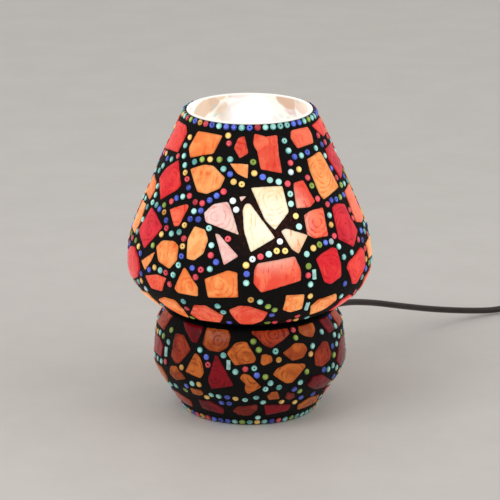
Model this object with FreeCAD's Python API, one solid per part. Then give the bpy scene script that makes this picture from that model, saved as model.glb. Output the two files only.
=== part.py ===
"""Mosaic glass table lamp: a one-piece blown-glass mushroom covered with glass shards and
beads set in black cement, with a small screw-base bulb, its holder and a corded switch.

Frame: millimetres, +Z up, origin at the centre of the foot on the table, front towards -Y.
Angles round the lamp are in degrees from the front, turning towards +X.
"""
import FreeCAD, Part
import math
import os
import random

V = FreeCAD.Vector
UP = V(0, 0, 1)

# --- driving dimensions ------------------------------------------------------------------
# Outside of the blown glass, from rim to foot: radius, height, corner radius.
GLASS_CORNERS = [
    (38.6, 190.4, 0), (54.4, 156.0, 150), (74.0, 109.2, 60), (74.0, 84.6, 25), (55.5, 70.4, 12),
    (38.0, 67.0, 2.2), (50.6, 64.4, 4.4), (56.6, 55.5, 16), (58.8, 30.3, 20), (39.2, 0.0, 0),
]
GLASS_WALL = 1.8
FOOT_RECESS_R = 30.0        # hollow under the foot
FOOT_RECESS_H = 1.2
FLOOR_TOP = 3.8
BOND_GAP = 0.08             # adhesive between the glass and what is stuck on it
GROUT_THICK = 1.35
TILE_THICK = 1.85
SHADE_CEMENT = (67.1, 190.2)    # heights covered by cement from the neck up
BASE_CEMENT = (0.7, 67.0)       # and from the foot to the neck
SHADE_SPAN = (71.0, 190.2)  # heights where shards and beads lie on the shade
BASE_SPAN = (0.7, 64.6)     # and on the base

BEAD_TUBE_R = 0.9           # a bead is a ring of this section
BEAD_RING_R = 1.2
BEAD_R = BEAD_TUBE_R + BEAD_RING_R
BEAD_SEAT = 1.2             # bead centre above the glass
BEAD_GAP = 0.2              # cement left between a bead and a shard
BEAD_PITCH = 5.4            # distance between beads that follow a shard's outline
BEAD_CLOSEST = 4.4          # closest distance between any two bead centres
SIDE_STRIP = 27.0           # how far beads follow the outlines on each side of the seams at +-90
BEAD_COLOURS = {"turquoise": 38, "blue": 18, "red": 18, "amber": 16, "green": 10}
RIM_RING = (188.1, 54)      # height and number of the beads round the rim
FOOT_RING = (2.9, 58)       # and round the foot
TUBE_BEAD_R = 1.25
TUBE_BEAD_SEAT = 1.4        # centre line above the glass
TUBE_BEAD_LENGTH = 6.0
TUBE_BEADS = [
    (31.0, 104.0), (28.6, 84.6), (-60.2, 43.5), (-12.6, 44.5), (-151.4, 84.6), (119.8, 43.5),
]

CORD_R = 2.1
CORD_ANGLE = 146.0          # where the cord leaves the base
CORD_EXIT_Z = 40.0
HOLE_R = 4.6
GROMMET_FLANGE_R = 6.0
RELIEF_LENGTH = 24.0

BRACKET_Z = 70.9            # underside of the bracket that carries the lamp holder
BRACKET_THICK = 1.2
BRACKET_REACH = 46.0
HOLDER_R = 14.0
HOLDER_TOP = 98.0
HOLDER_BOTTOM = 46.0
BULB_TIP_Z = 74.4
BULB_CENTRE_Z = 127.0
BULB_R = 22.5
CAP_R = 6.8

SWITCH_START = V(199, 190, 7.3)   # where the cord enters the switch
SWITCH_LENGTH = 60.0
SWITCH_NECK = 3.0           # how far each cord entry stands out of the case
SWITCH_WIDTH = 24.0
SWITCH_HEIGHT = 15.0
SWITCH_WALL = 1.6
ROCKER_TILT = 12.0

COIL_CENTRE = V(238, 119, 0)
COIL_R = 25.15              # middle of the turns, which lie two side by side and four deep
COIL_HALF_WIDTH = 4.45
COIL_BOTTOM = 1.0
COIL_HEIGHT = 17.2
TIE_GAP = 0.15
TIE_SIDE_GAP = 0.45         # the strap is straight and the coil curves inside it
TIE_THICK = 0.8
TIE_WIDTH = 8.0

PLUG_FACE = V(218, 40, 7.0)       # where the cord enters the plug, whose pins point to -Y
PLUG_NECK = 16.0
PLUG_BODY = (35.0, 22.0, 13.6)
PIN_R = 2.0
PIN_CORE_R = 1.25
PIN_SLEEVE_R = 1.6
PIN_ROOT = 8.0              # how deep a pin sits in the plug
PIN_PITCH = 19.0
PIN_LENGTH = 19.0
PIN_BARE = 9.0

# The cord's route from the lamp to the switch, from the switch to the coil, and to the plug.
# The first point is the end of the strain relief.
LEAD_ROUTE = [
    V(47.83, 70.91, 40), V(60, 88.5, 38.2), V(80, 111, 31), V(102, 132, 21.5), V(127, 154, 12),
    V(153, 173, 5), V(171, 183, 2.4), V(185, 188.5, 5), V(199, 190, 7.3),
]
TAIL_ROUTE = [
    V(259, 190, 7.3), V(273, 191.8, 6.4), V(289.5, 190.4, 2.8), V(303.5, 180.2, 2.2), V(309, 163.8, 2.2),
    V(302.5, 147.6, 2.2), V(286.5, 139.8, 2.2), V(268, 142.8, 2.5), V(250, 146.3, 3.1),
]
END_ROUTE = [
    V(210.7, 119, 16), V(210.7, 105, 14.2), V(211.6, 91, 8.6), V(213.6, 77, 3.7), V(216.2, 63.5, 3.6),
    V(218, 50.5, 7), V(218, 40, 7),
]
# The cord inside the base, as distance from the axis towards the exit, and height.
INNER_ROUTE = [(0, 49), (0, 24), (23, 13), (37.5, 40)]

# --- the mosaic ----------------------------------------------------------------------------
# Each shard's colour and outline on the front half, as (angle, height) corners.
SHADE_TILES = [
    ("red", [(-86, 183), (-63, 184), (-58, 180.5), (-60, 168.5), (-86, 165.5)]),
    ("orange", [(-50, 173), (-46, 183.3), (-21.5, 183), (-26.5, 172.5), (-40, 169.5), (-45.5, 168)]),
    ("red", [(-71, 151), (-67, 158), (-56, 165), (-45.5, 152), (-48.5, 148.5), (-60, 140.5)]),
    ("orange", [(-42.5, 162), (-32, 166), (-25, 166), (-15.5, 160), (-18, 154), (-26, 150), (-33, 150.5)]),
    ("coral", [(-49.5, 137.5), (-37.5, 143), (-36, 141.5), (-39.5, 130), (-42.5, 129)]),
    ("crimson", [(-67, 134.5), (-60, 132.5), (-50.5, 127), (-54, 120), (-60, 111.5), (-71.5, 119)]),
    ("orange", [(-51, 115.5), (-48, 120), (-40, 121.5), (-36.5, 119), (-36, 111), (-40, 105),
        (-47.5, 107.5)]),
    ("orange", [(-61, 104), (-51, 112.5), (-52.5, 107), (-57, 99.5)]),
    ("red", [(-84, 102), (-78, 107.5), (-71, 109.5), (-64.5, 105), (-62, 99), (-65, 92.5),
        (-73, 88), (-84, 87)]),
    ("orange", [(-87, 149.5), (-74, 148), (-70.5, 144), (-73, 137), (-87, 138)]),
    ("orange", [(-87, 133), (-76, 133.5), (-73.5, 123), (-76, 115.5), (-87, 116)]),
    ("coral", [(-57, 96.5), (-48, 100), (-41.5, 99.5), (-45, 90), (-53, 89.5)]),
    ("orange", [(-51, 83.5), (-45, 87), (-38, 87), (-35.2, 80), (-38.5, 71.8), (-44, 73.3)]),
    ("orange", [(-37, 94), (-32, 108), (-31, 108), (-24, 97.5), (-24.3, 91.5), (-35, 91.5)]),
    ("amber", [(-32.5, 124), (-30, 131.5), (-23.5, 130.5), (-21, 125), (-22.5, 117), (-27, 112.5),
        (-31, 112.8)]),
    ("coral", [(-12, 176.5), (-9, 182.5), (-4, 183.5), (-0.7, 174), (-7, 171)]),
    ("amber", [(-14, 168), (-0.7, 168), (-1.2, 160), (-8, 162.5)]),
    ("coral", [(2.2, 179), (3.5, 184.8), (13, 183), (22.8, 183.3), (21.5, 172), (21.8, 162),
        (7.2, 165), (5.2, 175)]),
    ("pink", [(-26, 139.5), (-21, 145), (-12.5, 147), (-9.5, 141.5), (-5.2, 128.8), (-24, 134.5)]),
    ("pink", [(-18, 128.8), (-16, 128.8), (-5.2, 117), (-12, 111.5)]),
    ("pink", [(-6.2, 150), (-1.8, 150.3), (-5, 147)]),
    ("cream", [(-4, 143), (-2.5, 146.3), (0.2, 146.3), (13.2, 126.8), (0.5, 119.3), (-3, 131)]),
    ("cream", [(0.5, 155), (20.5, 155.2), (22.3, 140.5), (13.2, 131.2), (8.2, 136.8), (4.2, 146.5)]),
    ("orange", [(-21.2, 103), (-10, 109.2), (-5.5, 108), (-5, 93), (-19.5, 91.5)]),
    ("coral", [(2, 110), (3.5, 113.3), (22, 116), (24.5, 108), (24.3, 101.5), (5, 95.8), (1.5, 101.5)]),
    ("amber", [(16.2, 130.3), (19, 131.6), (30.8, 126.3), (24, 116.8), (20.5, 120)]),
    ("coral", [(-33, 77.8), (-27.5, 86), (-21, 87), (-13, 80), (-17, 72.9), (-31, 72.6)]),
    ("coral", [(-10, 85), (-5, 88.8), (0, 88.3), (9, 83), (7, 75.6), (1, 71.6), (-6, 72.6)]),
    ("orange", [(15.8, 84), (16.8, 94), (26, 93.2), (26.2, 83), (20, 81.5)]),
    ("coral", [(33, 181), (35.5, 184.8), (55, 184.6), (57, 180), (55, 175), (37, 174.3)]),
    ("red", [(61, 184.3), (86, 184.8), (86, 176), (73, 175.5), (66, 180)]),
    ("orange", [(42.5, 160), (43, 167.5), (58, 169.7), (60, 168), (65, 147), (47, 143.5), (44.8, 147)]),
    ("crimson", [(65.5, 163), (67, 169.3), (86, 169.5), (86, 153.5), (72, 150)]),
    ("coral", [(27.3, 153.5), (28, 156.3), (35.5, 156.8), (40.3, 143.8), (36, 141.3), (27, 142)]),
    ("coral", [(30.3, 126.5), (30.6, 137.5), (36, 139.6), (44.8, 139.6), (43, 123.5), (34, 123.8)]),
    ("crimson", [(51.5, 138), (56, 139.4), (64.5, 137), (65.5, 128), (67.8, 120), (59, 112.7), (49, 120)]),
    ("coral", [(70.3, 143), (86, 144), (86, 122), (78, 121.5), (69.7, 124.5)]),
    ("red", [(32.5, 112.5), (36, 115), (43.5, 117.3), (46, 116), (47.5, 106), (47, 98.5),
        (40, 95.5), (36.2, 98)]),
    ("red", [(51, 103), (53, 106), (66, 111), (69, 108), (69, 98), (60, 89.7), (56, 91)]),
    ("orange", [(73, 110.5), (86, 111.5), (86, 99), (75.5, 100)]),
    ("orange", [(30.5, 84), (34, 88), (45, 89.3), (47, 84.5), (42, 78.5), (34, 76.3)]),
    ("red", [(51.5, 82), (58, 84.5), (65, 81), (60, 72.1), (53, 73.3)]),
    ("coral", [(70, 91), (85, 93.5), (85, 82), (74, 80)]),
    ("orange", [(-74, 82), (-60, 85), (-56, 79.3), (-61, 72.1), (-72, 73.3)]),
]
BASE_TILES = [
    ("crimson", [(-52.5, 64.3), (-33, 64.3), (-32, 60.5), (-33.5, 54.3), (-37.5, 54.2), (-46, 60)]),
    ("coral", [(-52.5, 57.1), (-45, 57.8), (-39, 52.4), (-37.5, 50), (-46.5, 39.5), (-50, 38.7),
        (-54.5, 42.5)]),
    ("orange", [(-30, 64.3), (-14, 64.3), (-11.8, 60), (-13, 54.8), (-18, 51.3), (-25, 51.4), (-30, 54.4)]),
    ("orange", [(-34.8, 48.8), (-32.5, 48.8), (-29.5, 44.5), (-27.7, 37.5), (-30, 33.7), (-41.3, 35.8)]),
    ("orange", [(-54.5, 36.5), (-49, 37.8), (-43.5, 34), (-41, 31.3), (-50, 28), (-56, 31)]),
    ("crimson", [(-21, 49.9), (-19.3, 49.5), (-8.8, 31.5), (-23.5, 27.5), (-25.3, 33.5)]),
    ("orange", [(-14, 51.5), (-9.5, 57.4), (-5, 58.8), (-1.5, 58.4), (4.2, 48.8), (3.3, 46.2), (-9, 44.2)]),
    ("orange", [(-40, 26), (-31, 26), (-30.5, 23), (-34, 21.1), (-40, 21.3)]),
    ("crimson", [(-38, 17.5), (-28, 18.3), (-18.3, 14), (-19.5, 8.7), (-38, 10.5)]),
    ("coral", [(-13, 12), (-9, 16), (5, 18), (6, 14), (1, 8.8), (-8, 8.7)]),
    ("crimson", [(-83, 48.5), (-70, 49.5), (-64, 45.5), (-66, 38), (-83, 37.5)]),
    ("orange", [(-82, 31.5), (-66, 32.5), (-61, 27.5), (-66, 22), (-82, 21)]),
    ("coral", [(-83, 64.3), (-64, 64.3), (-66, 54.5), (-83, 54.4)]),
    ("coral", [(-73, 15), (-58, 16.8), (-47, 14), (-49, 8.8), (-72, 8.7)]),
    ("coral", [(0.5, 64.3), (26.5, 64.3), (27, 60.5), (21, 57.5), (13, 53.8), (9, 55.5), (4.5, 60), (1, 62)]),
    ("orange", [(6.8, 50.8), (9.5, 51.6), (13.5, 49.8), (13.8, 46.2), (8, 44), (6.3, 45.3)]),
    ("orange", [(19.6, 51.1), (28.5, 56), (35, 54.8), (37.3, 51), (34, 46.3), (26, 45.3)]),
    ("orange", [(13.3, 38.2), (16, 41.8), (23, 44.3), (35, 42.2), (35.2, 40.2), (25.5, 31.5), (21.5, 31.7)]),
    ("orange", [(-6, 37), (-4, 39.8), (0, 38.9), (7.3, 31), (-1, 26.2), (-3.2, 29), (-2.6, 33)]),
    ("orange", [(10.6, 25), (13, 27.5), (17, 27.7), (21.8, 24.5), (20, 21.4), (12, 21.4)]),
    ("coral", [(23.2, 21.5), (23.7, 25.8), (29, 24.3), (31, 21), (27, 19)]),
    ("crimson", [(9.5, 17.3), (22, 16.5), (30.5, 15), (30.5, 10.5), (12, 8.7)]),
    ("orange", [(34, 64.3), (47.5, 64.3), (47, 59.5), (42.5, 56.2), (37.5, 57.4), (33.3, 60)]),
    ("coral", [(42, 47.5), (50, 53), (55, 51.6), (58.3, 42.5), (56, 39.5), (48, 37.2), (42, 39.5)]),
    ("crimson", [(36.2, 28.5), (40, 33.7), (48, 33.2), (63.5, 24.5), (58, 21.2), (45, 23.2)]),
    ("crimson", [(63, 36.5), (68, 46.5), (73, 49.1), (85, 48), (85, 30.5), (70, 30.5)]),
    ("crimson", [(53, 64.3), (65, 64.3), (66, 55.5), (57, 54.7)]),
    ("coral", [(70.5, 64.3), (85, 64.3), (85, 54.7), (71.5, 54.7)]),
    ("orange", [(69, 19), (85, 21.5), (85, 9.5), (68, 9.5)]),
    ("orange", [(37, 13.5), (46, 16.8), (59, 15.5), (62, 9.5), (39, 8.7)]),
]
# The shard that gives way to the cord's grommet on the back.
GROMMET_TILE = BASE_TILES[3]
# Colours change places on the back half.
SHADE_BACK = {"cream": "orange", "pink": "coral", "amber": "orange", "orange": "amber"}
BASE_BACK = {"orange": "coral", "coral": "orange"}

# Where beads lie on the front half, as (angle, height).
SHADE_BEADS = {
    "turquoise": [
        (-54.7, 173.7), (-52, 168), (-48.2, 163.3), (-40.5, 166.4), (-65, 163.6), (-73.5, 157.8),
        (-77, 154), (-42.2, 146.3), (-32.2, 139.6), (-38.5, 126.7), (-43.2, 124.8), (-62.4, 136.9),
        (-67.7, 137), (-67.7, 141.5), (-72.8, 132.8), (-35.1, 108.6), (-37.7, 102.2), (-45.8, 102.8),
        (-33, 86.7), (-53, 78.4), (-13.7, 170), (-17.7, 164.8), (12.9, 158.9), (18.4, 157.6),
        (24.7, 150.3), (24.1, 144.8), (26.6, 131.7), (-22, 131.1), (-19.1, 122.2), (-18.7, 109),
        (-1.6, 101.9), (9.2, 118.1), (27.7, 179.7), (29.4, 174.1), (39.2, 170.2), (64.2, 163.9),
        (74.7, 146.5), (47.9, 134.4), (28.2, 116.1), (28.9, 98.3), (47.8, 116.3), (77, 116.5),
        (49.7, 85.6), (4.8, 90.3), (-15.2, 86.7), (-13.1, 82.4), (50.2, 109.6), (56.7, 110.4),
        (55.6, 171.9),
        (-28, 73.3), (-19.5, 73.3), (35, 73.4),
    ],
    "blue": [
        (-71.7, 162.7), (-39.7, 151.9), (-46.6, 144.6), (-28, 140), (-33.5, 135), (-28.5, 135.5),
        (-49.5, 131.1), (-58, 135.6), (-34.1, 113.9), (-54, 101.1), (-61.2, 96), (-27.5, 108.3),
        (-63.2, 107.8), (-12.8, 162.2), (8.6, 160.6), (-19.8, 149.8), (-23.7, 146.9), (-15.9, 113.2),
        (-1.4, 107.2), (11.1, 80.6), (-11.7, 73.5), (33.2, 170.2), (45.3, 171.2), (65.6, 158.9),
        (57.8, 141.5), (67.5, 141.7), (40.1, 120.4), (71.9, 118.6), (70, 113.5), (50, 93.5),
        (65.1, 172.4), (53.1, 142),
    ],
    "red": [
        (-42.5, 156.3), (-37.5, 147.5), (-59.2, 167.3), (-49.7, 142.2), (-32.7, 144.7), (-28, 144.7),
        (-34.7, 123.7), (-47.6, 127), (-42.2, 102.4), (-39.7, 96), (-77.7, 112.2), (-25.5, 103.3),
        (-32.7, 81.7), (-15.9, 179.1), (24.1, 156.1), (-15.8, 152.4), (-18.8, 116.7), (-23.1, 108),
        (-11, 126.4), (5.1, 116.9), (50.6, 172), (71.7, 172.4), (28.9, 167.2), (39.2, 157.6),
        (42.5, 145), (66.9, 152.2), (48.9, 140.5), (46.9, 122.6), (28.3, 103.9), (26.1, 77.3),
        (68, 132.5),
        (-24, 73.3), (14.5, 73.3), (23, 73.4),
    ],
    "amber": [
        (-52.7, 178.7), (-45.5, 159.2), (-28.5, 169.2), (-36.2, 131.1), (-49.8, 122.9), (-53, 135),
        (-34.7, 119.4), (-49.9, 103.4), (-66.5, 110.9), (-61.8, 91.5), (-17.3, 183.3), (-10.1, 158.1),
        (-4.9, 156.9), (3, 163), (25.8, 137.8), (-1.7, 112.2), (13.1, 119.6), (17.3, 119.3),
        (0.5, 91.7), (34.2, 163), (47.1, 129.1), (32.3, 118.7), (29.1, 90.8), (53.3, 77.9),
        (27.5, 73.4),
    ],
    "green": [
        (-34.7, 168.5), (-54.7, 138), (-53.8, 115.4), (-71.5, 112.8), (-21.4, 169.7), (2.4, 169.2),
        (8.6, 87), (12, 84.4), (40.8, 152.8), (69.2, 147.2), (62.5, 141.6), (36.3, 120), (28.3, 109.2),
        (10.5, 73.3), (-37, 73.4),
    ],
    "white": [
        (-9.8, 147.6), (-7.6, 142.8), (1.3, 115.6), (15.2, 124.7), (27.8, 162.2), (43.9, 120.4),
        (-59.2, 87.3),
    ],
}
BASE_BEADS = {
    "turquoise": [
        (-31.2, 51.4), (-15.4, 50.7), (-8.4, 40.3), (-36.8, 29.3), (-20, 23.1), (-2.9, 21.8),
        (-55, 23), (-58.5, 50), (15.4, 52.7), (2.7, 42.7), (12.3, 33.1), (17.7, 29.9), (9.4, 29.5),
        (4.1, 23.5), (41.2, 51.9), (31.5, 31.1), (59.2, 35), (54.2, 34.1), (51.5, 57.6), (6.5, 5.9),
        (-25, 23.5), (8.9, 19.4),
    ],
    "blue": [
        (-26.6, 47.7), (-42.1, 26.4), (-14.3, 23.2), (-19.3, 18), (-13.9, 18), (4.2, 38.6),
        (28.1, 27.1), (60, 47.1), (49.2, 35.1), (47.3, 19.1), (36.5, 19.1), (-37.2, 47.4),
    ],
    "red": [
        (-2.6, 42.2), (29.8, 62.3), (-60.5, 39), (-24.5, 43),
    ],
    "amber": [
        (-45.2, 36.8), (-31.8, 29.7), (-9.1, 22.5), (-27.1, 22.5), (21.9, 18.6), (33, 16.5), (39.4, 47.3),
        (17.5, 47.1),
    ],
    "green": [
        (-45.7, 22.5), (-58, 57.1), (-65.4, 51.9), (2.3, 58.2), (5.5, 53.8), (30, 58.2), (9.2, 37.1),
        (35.8, 36.9), (32.7, 24.9), (61, 41.1),
    ],
}


# --- small helpers -------------------------------------------------------------------------
def export(node, solids):
    """Write one node from one solid or a list of separate solids."""
    shape = solids[0] if len(solids) == 1 else Part.makeCompound(solids)
    volume = sum(s.Volume for s in shape.Solids)
    print("%-24s solids %4d  volume %10.1f  valid %s" % (node, len(shape.Solids), volume, shape.isValid()))
    shape.exportStep("parts/%s.step" % node)


def cylinder(radius, height, base, axis=UP):
    return Part.makeCylinder(radius, height, base, axis)


def tube(outer, inner, height, base, axis=UP):
    return cylinder(outer, height, base, axis).cut(cylinder(inner, height, base, axis))


def box(size, centre):
    """A box given by its size and its centre."""
    return Part.makeBox(size[0], size[1], size[2], centre - V(*size) * 0.5)


def revolve(points, base=V(0, 0, 0), axis=UP):
    """Turn a closed outline of (radius, height) points round an axis through base."""
    wire = Part.makePolygon([V(r, 0, h) for r, h in points] + [V(points[0][0], 0, points[0][1])])
    solid = Part.Face(wire).revolve(V(0, 0, 0), UP, 360)
    solid.Placement = FreeCAD.Placement(base, FreeCAD.Rotation(UP, axis))
    return solid


def radial(angle):
    """Unit vector away from the axis at an angle round the lamp."""
    a = math.radians(angle)
    return V(math.sin(a), -math.cos(a), 0)


def rounded_box(size, centre, radius):
    """A box with its upright edges rounded."""
    body = box(size, centre)
    upright = [e for e in body.Edges if abs(e.tangentAt(e.FirstParameter).z) > 0.9]
    return body.makeFillet(radius, upright)


# --- the glass outline ---------------------------------------------------------------------
def offset_corners(corners, distance):
    """Move an outline outwards: each side shifts along its normal, and corner radii follow."""
    sides = []
    for (r0, z0, _), (r1, z1, _) in zip(corners, corners[1:]):
        length = math.hypot(r1 - r0, z1 - z0)
        sides.append((r0, z0, (r1 - r0) / length, (z1 - z0) / length))
    moved = []
    for i, (r, z, radius) in enumerate(corners):
        before = sides[max(i - 1, 0)]
        after = sides[min(i, len(sides) - 1)]
        cross = before[2] * after[3] - before[3] * after[2]
        if abs(cross) < 1e-9:
            moved.append((r - after[3] * distance, z + after[2] * distance, 0))
            continue
        half = math.tan(math.asin(max(-1, min(1, cross))) / 2)
        if before[2] * after[2] + before[3] * after[3] < 0:
            half = 1 / half
        moved.append((r - before[3] * distance - before[2] * distance * half,
                      z + before[2] * distance - before[3] * distance * half,
                      radius - math.copysign(distance, cross)))
    return moved


def outline_pieces(corners):
    """Split an outline into ("line", start, end) and ("arc", start, middle, end, centre, radius)."""
    points = [(r, z) for r, z, _ in corners]
    pieces = []
    start = points[0]
    for i in range(1, len(corners) - 1):
        r, z, radius = corners[i]
        to_last = (points[i - 1][0] - r, points[i - 1][1] - z)
        to_next = (points[i + 1][0] - r, points[i + 1][1] - z)
        last_len = math.hypot(*to_last)
        next_len = math.hypot(*to_next)
        u = (to_last[0] / last_len, to_last[1] / last_len)
        w = (to_next[0] / next_len, to_next[1] / next_len)
        half_inside = math.acos(u[0] * w[0] + u[1] * w[1]) / 2
        reach = radius / math.tan(half_inside)
        bisector = (u[0] + w[0], u[1] + w[1])
        size = math.hypot(*bisector)
        bisector = (bisector[0] / size, bisector[1] / size)
        away = radius / math.sin(half_inside)
        centre = (r + bisector[0] * away, z + bisector[1] * away)
        a = (r + u[0] * reach, z + u[1] * reach)
        b = (r + w[0] * reach, z + w[1] * reach)
        middle = (centre[0] - bisector[0] * radius, centre[1] - bisector[1] * radius)
        pieces.append(("line", start, a))
        pieces.append(("arc", a, middle, b, centre, radius))
        start = b
    pieces.append(("line", start, points[-1]))
    return pieces


def outline_edges(corners):
    """The outline as edges in the XZ plane."""
    edges = []
    for piece in outline_pieces(corners):
        ends = [V(p[0], 0, p[1]) for p in piece[1:4] if isinstance(p, tuple)]
        if piece[0] == "line":
            edges.append(Part.LineSegment(ends[0], ends[1]).toShape())
        else:
            edges.append(Part.Arc(ends[0], ends[1], ends[2]).toShape())
    return edges


GLASS_PIECES = outline_pieces(GLASS_CORNERS)


def glass_at(height):
    """Radius of the glass and its outward normal (radial, upward) at a height off the neck."""
    for piece in GLASS_PIECES:
        (r0, z0), (r1, z1) = piece[1], piece[2] if piece[0] == "line" else piece[3]
        if not min(z0, z1) - 1e-6 <= height <= max(z0, z1) + 1e-6:
            continue
        if piece[0] == "line":
            length = math.hypot(r1 - r0, z1 - z0)
            share = (height - z0) / (z1 - z0)
            return r0 + (r1 - r0) * share, (-(z1 - z0) / length, (r1 - r0) / length)
        (rc, zc), radius = piece[4], piece[5]
        across = math.sqrt(max(0.0, radius ** 2 - (height - zc) ** 2))
        return rc + across, (across / radius, (height - zc) / radius)
    raise ValueError("no glass at height %s" % height)


def on_surface(angle, height, above=0.0):
    """Point above the glass surface, the surface normal, and the horizontal tangent."""
    radius, (out, up) = glass_at(height)
    normal = radial(angle) * out + UP * up
    return radial(angle) * radius + UP * height + normal * above, normal, radial(angle + 90)


def layer(span, inner, outer):
    """A skin over the glass between two heights, from inner to outer distance above it."""
    wires = []
    for distance in (inner, outer):
        wires.append(Part.Wire(outline_edges(offset_corners(GLASS_CORNERS, distance))))
    caps = []
    for k in (0, -1):
        ends = [w.OrderedVertexes[k].Point for w in wires]
        caps.append(Part.LineSegment(ends[0], ends[1]).toShape())
    face = Part.Face(Part.Wire(wires[0].Edges + [caps[1]] + wires[1].Edges[::-1] + [caps[0]]))
    skin = face.revolve(V(0, 0, 0), UP, 360)
    slab = cylinder(100, span[1] - span[0], UP * span[0])
    return skin.common(slab)


# --- glass, cement, shards and beads -------------------------------------------------------
def glass_body():
    outside = outline_edges(GLASS_CORNERS)
    inner_corners = offset_corners(GLASS_CORNERS, -GLASS_WALL)
    (r1, z1, _), (r0, z0, _) = inner_corners[-2:]
    floor_r = r0 + (r1 - r0) * (FLOOR_TOP - z0) / (z1 - z0)
    inner_corners[-1] = (floor_r, FLOOR_TOP, 0)
    rim_out = GLASS_CORNERS[0]
    rim_in = inner_corners[0]
    inner_corners[0] = (rim_in[0], rim_out[1], 0)
    inside = outline_edges(inner_corners)
    crown = V((rim_out[0] + rim_in[0]) / 2, 0, rim_out[1] + 0.8)
    rim = Part.Arc(V(rim_out[0], 0, rim_out[1]), crown, V(rim_in[0], 0, rim_out[1])).toShape()
    foot = [(GLASS_CORNERS[-1][0], 0), (FOOT_RECESS_R, 0), (FOOT_RECESS_R - 1.5, FOOT_RECESS_H),
            (0, FOOT_RECESS_H), (0, FLOOR_TOP), (floor_r, FLOOR_TOP)]
    floor = []
    for (r0, z0), (r1, z1) in zip(foot, foot[1:]):
        floor.append(Part.LineSegment(V(r0, 0, z0), V(r1, 0, z1)).toShape())
    wire = Part.Wire(Part.__sortEdges__(outside + floor + inside + [rim]))
    body = Part.Face(wire).revolve(V(0, 0, 0), UP, 360)
    return body.cut(cord_hole())


def cord_hole():
    start = radial(CORD_ANGLE) * 48 + UP * CORD_EXIT_Z
    return cylinder(HOLE_R, 16, start, radial(CORD_ANGLE))


def all_tiles(front, back_colour):
    """The front outlines and the same ones carried round to the back with other colours."""
    tiles = list(front)
    for colour, outline in front:
        if outline is not GROMMET_TILE[1]:
            turned = [(angle + 180, height) for angle, height in outline]
            tiles.append((back_colour.get(colour, colour), turned))
    return tiles


def tile_prism(outline):
    """A straight-sided block through the skin, square to the glass at the shard's middle."""
    angle = sum(a for a, _ in outline) / len(outline)
    height = sum(h for _, h in outline) / len(outline)
    middle, normal, _ = on_surface(angle, height)
    corners = []
    for a, h in outline:
        point = on_surface(a, h)[0]
        corners.append(point - normal * ((point - middle).dot(normal) + 4))
    face = Part.Face(Part.makePolygon(corners + [corners[0]]))
    return face.extrude(normal * 9)


def meridian_lengths():
    """Length along the side of the glass from the foot up to each whole millimetre of height."""
    lengths = [0.0]
    for low in range(190):
        step = glass_at(low + 1.0)[0] - glass_at(float(low))[0]
        lengths.append(lengths[-1] + math.hypot(step, 1))
    return lengths


MERIDIAN = meridian_lengths()


def up_the_side(height):
    low = max(0, min(int(height), 189))
    return MERIDIAN[low] + (height - low) * (MERIDIAN[low + 1] - MERIDIAN[low])


def flat(angle, height, at_angle, at_height):
    """A surface point in millimetres across and up from another one."""
    turn = (angle - at_angle + 180) % 360 - 180
    return math.radians(turn) * glass_at(at_height)[0], up_the_side(height) - up_the_side(at_height)


def step_on_surface(angle, height, across, up):
    """The surface point a small step away."""
    slope = up_the_side(height + 0.5) - up_the_side(height - 0.5)
    return angle + math.degrees(across / glass_at(height)[0]), height + up / slope


def gap_to_outline(outline, angle, height):
    """Distance from a surface point to a shard's outline, negative inside it."""
    points = [flat(a, h, angle, height) for a, h in outline]
    best = 1e9
    inside = False
    for (x0, y0), (x1, y1) in zip(points, points[1:] + points[:1]):
        dx, dy = x1 - x0, y1 - y0
        along = max(0.0, min(1.0, -(x0 * dx + y0 * dy) / (dx * dx + dy * dy)))
        best = min(best, math.hypot(x0 + along * dx, y0 + along * dy))
        if (y0 > 0) != (y1 > 0) and x0 - y0 * dx / dy > 0:
            inside = not inside
    return -best if inside else best


def room_for_bead(angle, height, outlines, spots):
    """How much more than enough room a bead has at a place; negative where it would touch."""
    gaps = [gap_to_outline(outline, angle, height) - BEAD_R - BEAD_GAP for outline in outlines]
    gaps += [math.hypot(*flat(a, h, angle, height)) - BEAD_CLOSEST for a, h in spots]
    return min(gaps)


def nearby(angle, height, tiles, spots):
    """The outlines and beads close enough to matter at a place."""
    outlines = [o for _, o in tiles if min(math.hypot(*flat(a, h, angle, height)) for a, h in o) < 22]
    return outlines, [s for s in spots if 0 < math.hypot(*flat(s[0], s[1], angle, height)) < 9]


def settled(angle, height, tiles, spots):
    """Nudge a bead into the middle of its gap, or return None where there is no room."""
    outlines, beads = nearby(angle, height, tiles, spots)
    room = room_for_bead(angle, height, outlines, beads)
    for _ in range(9):
        if room >= 0:
            return angle, height
        tries = []
        for k in range(8):
            turn = k * math.pi / 4
            tries.append(step_on_surface(angle, height, 0.3 * math.cos(turn), 0.3 * math.sin(turn)))
        rated = [(room_for_bead(a, h, outlines, beads), a, h) for a, h in tries]
        if max(rated)[0] <= room:
            return None
        room, angle, height = max(rated)
    return None


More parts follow.
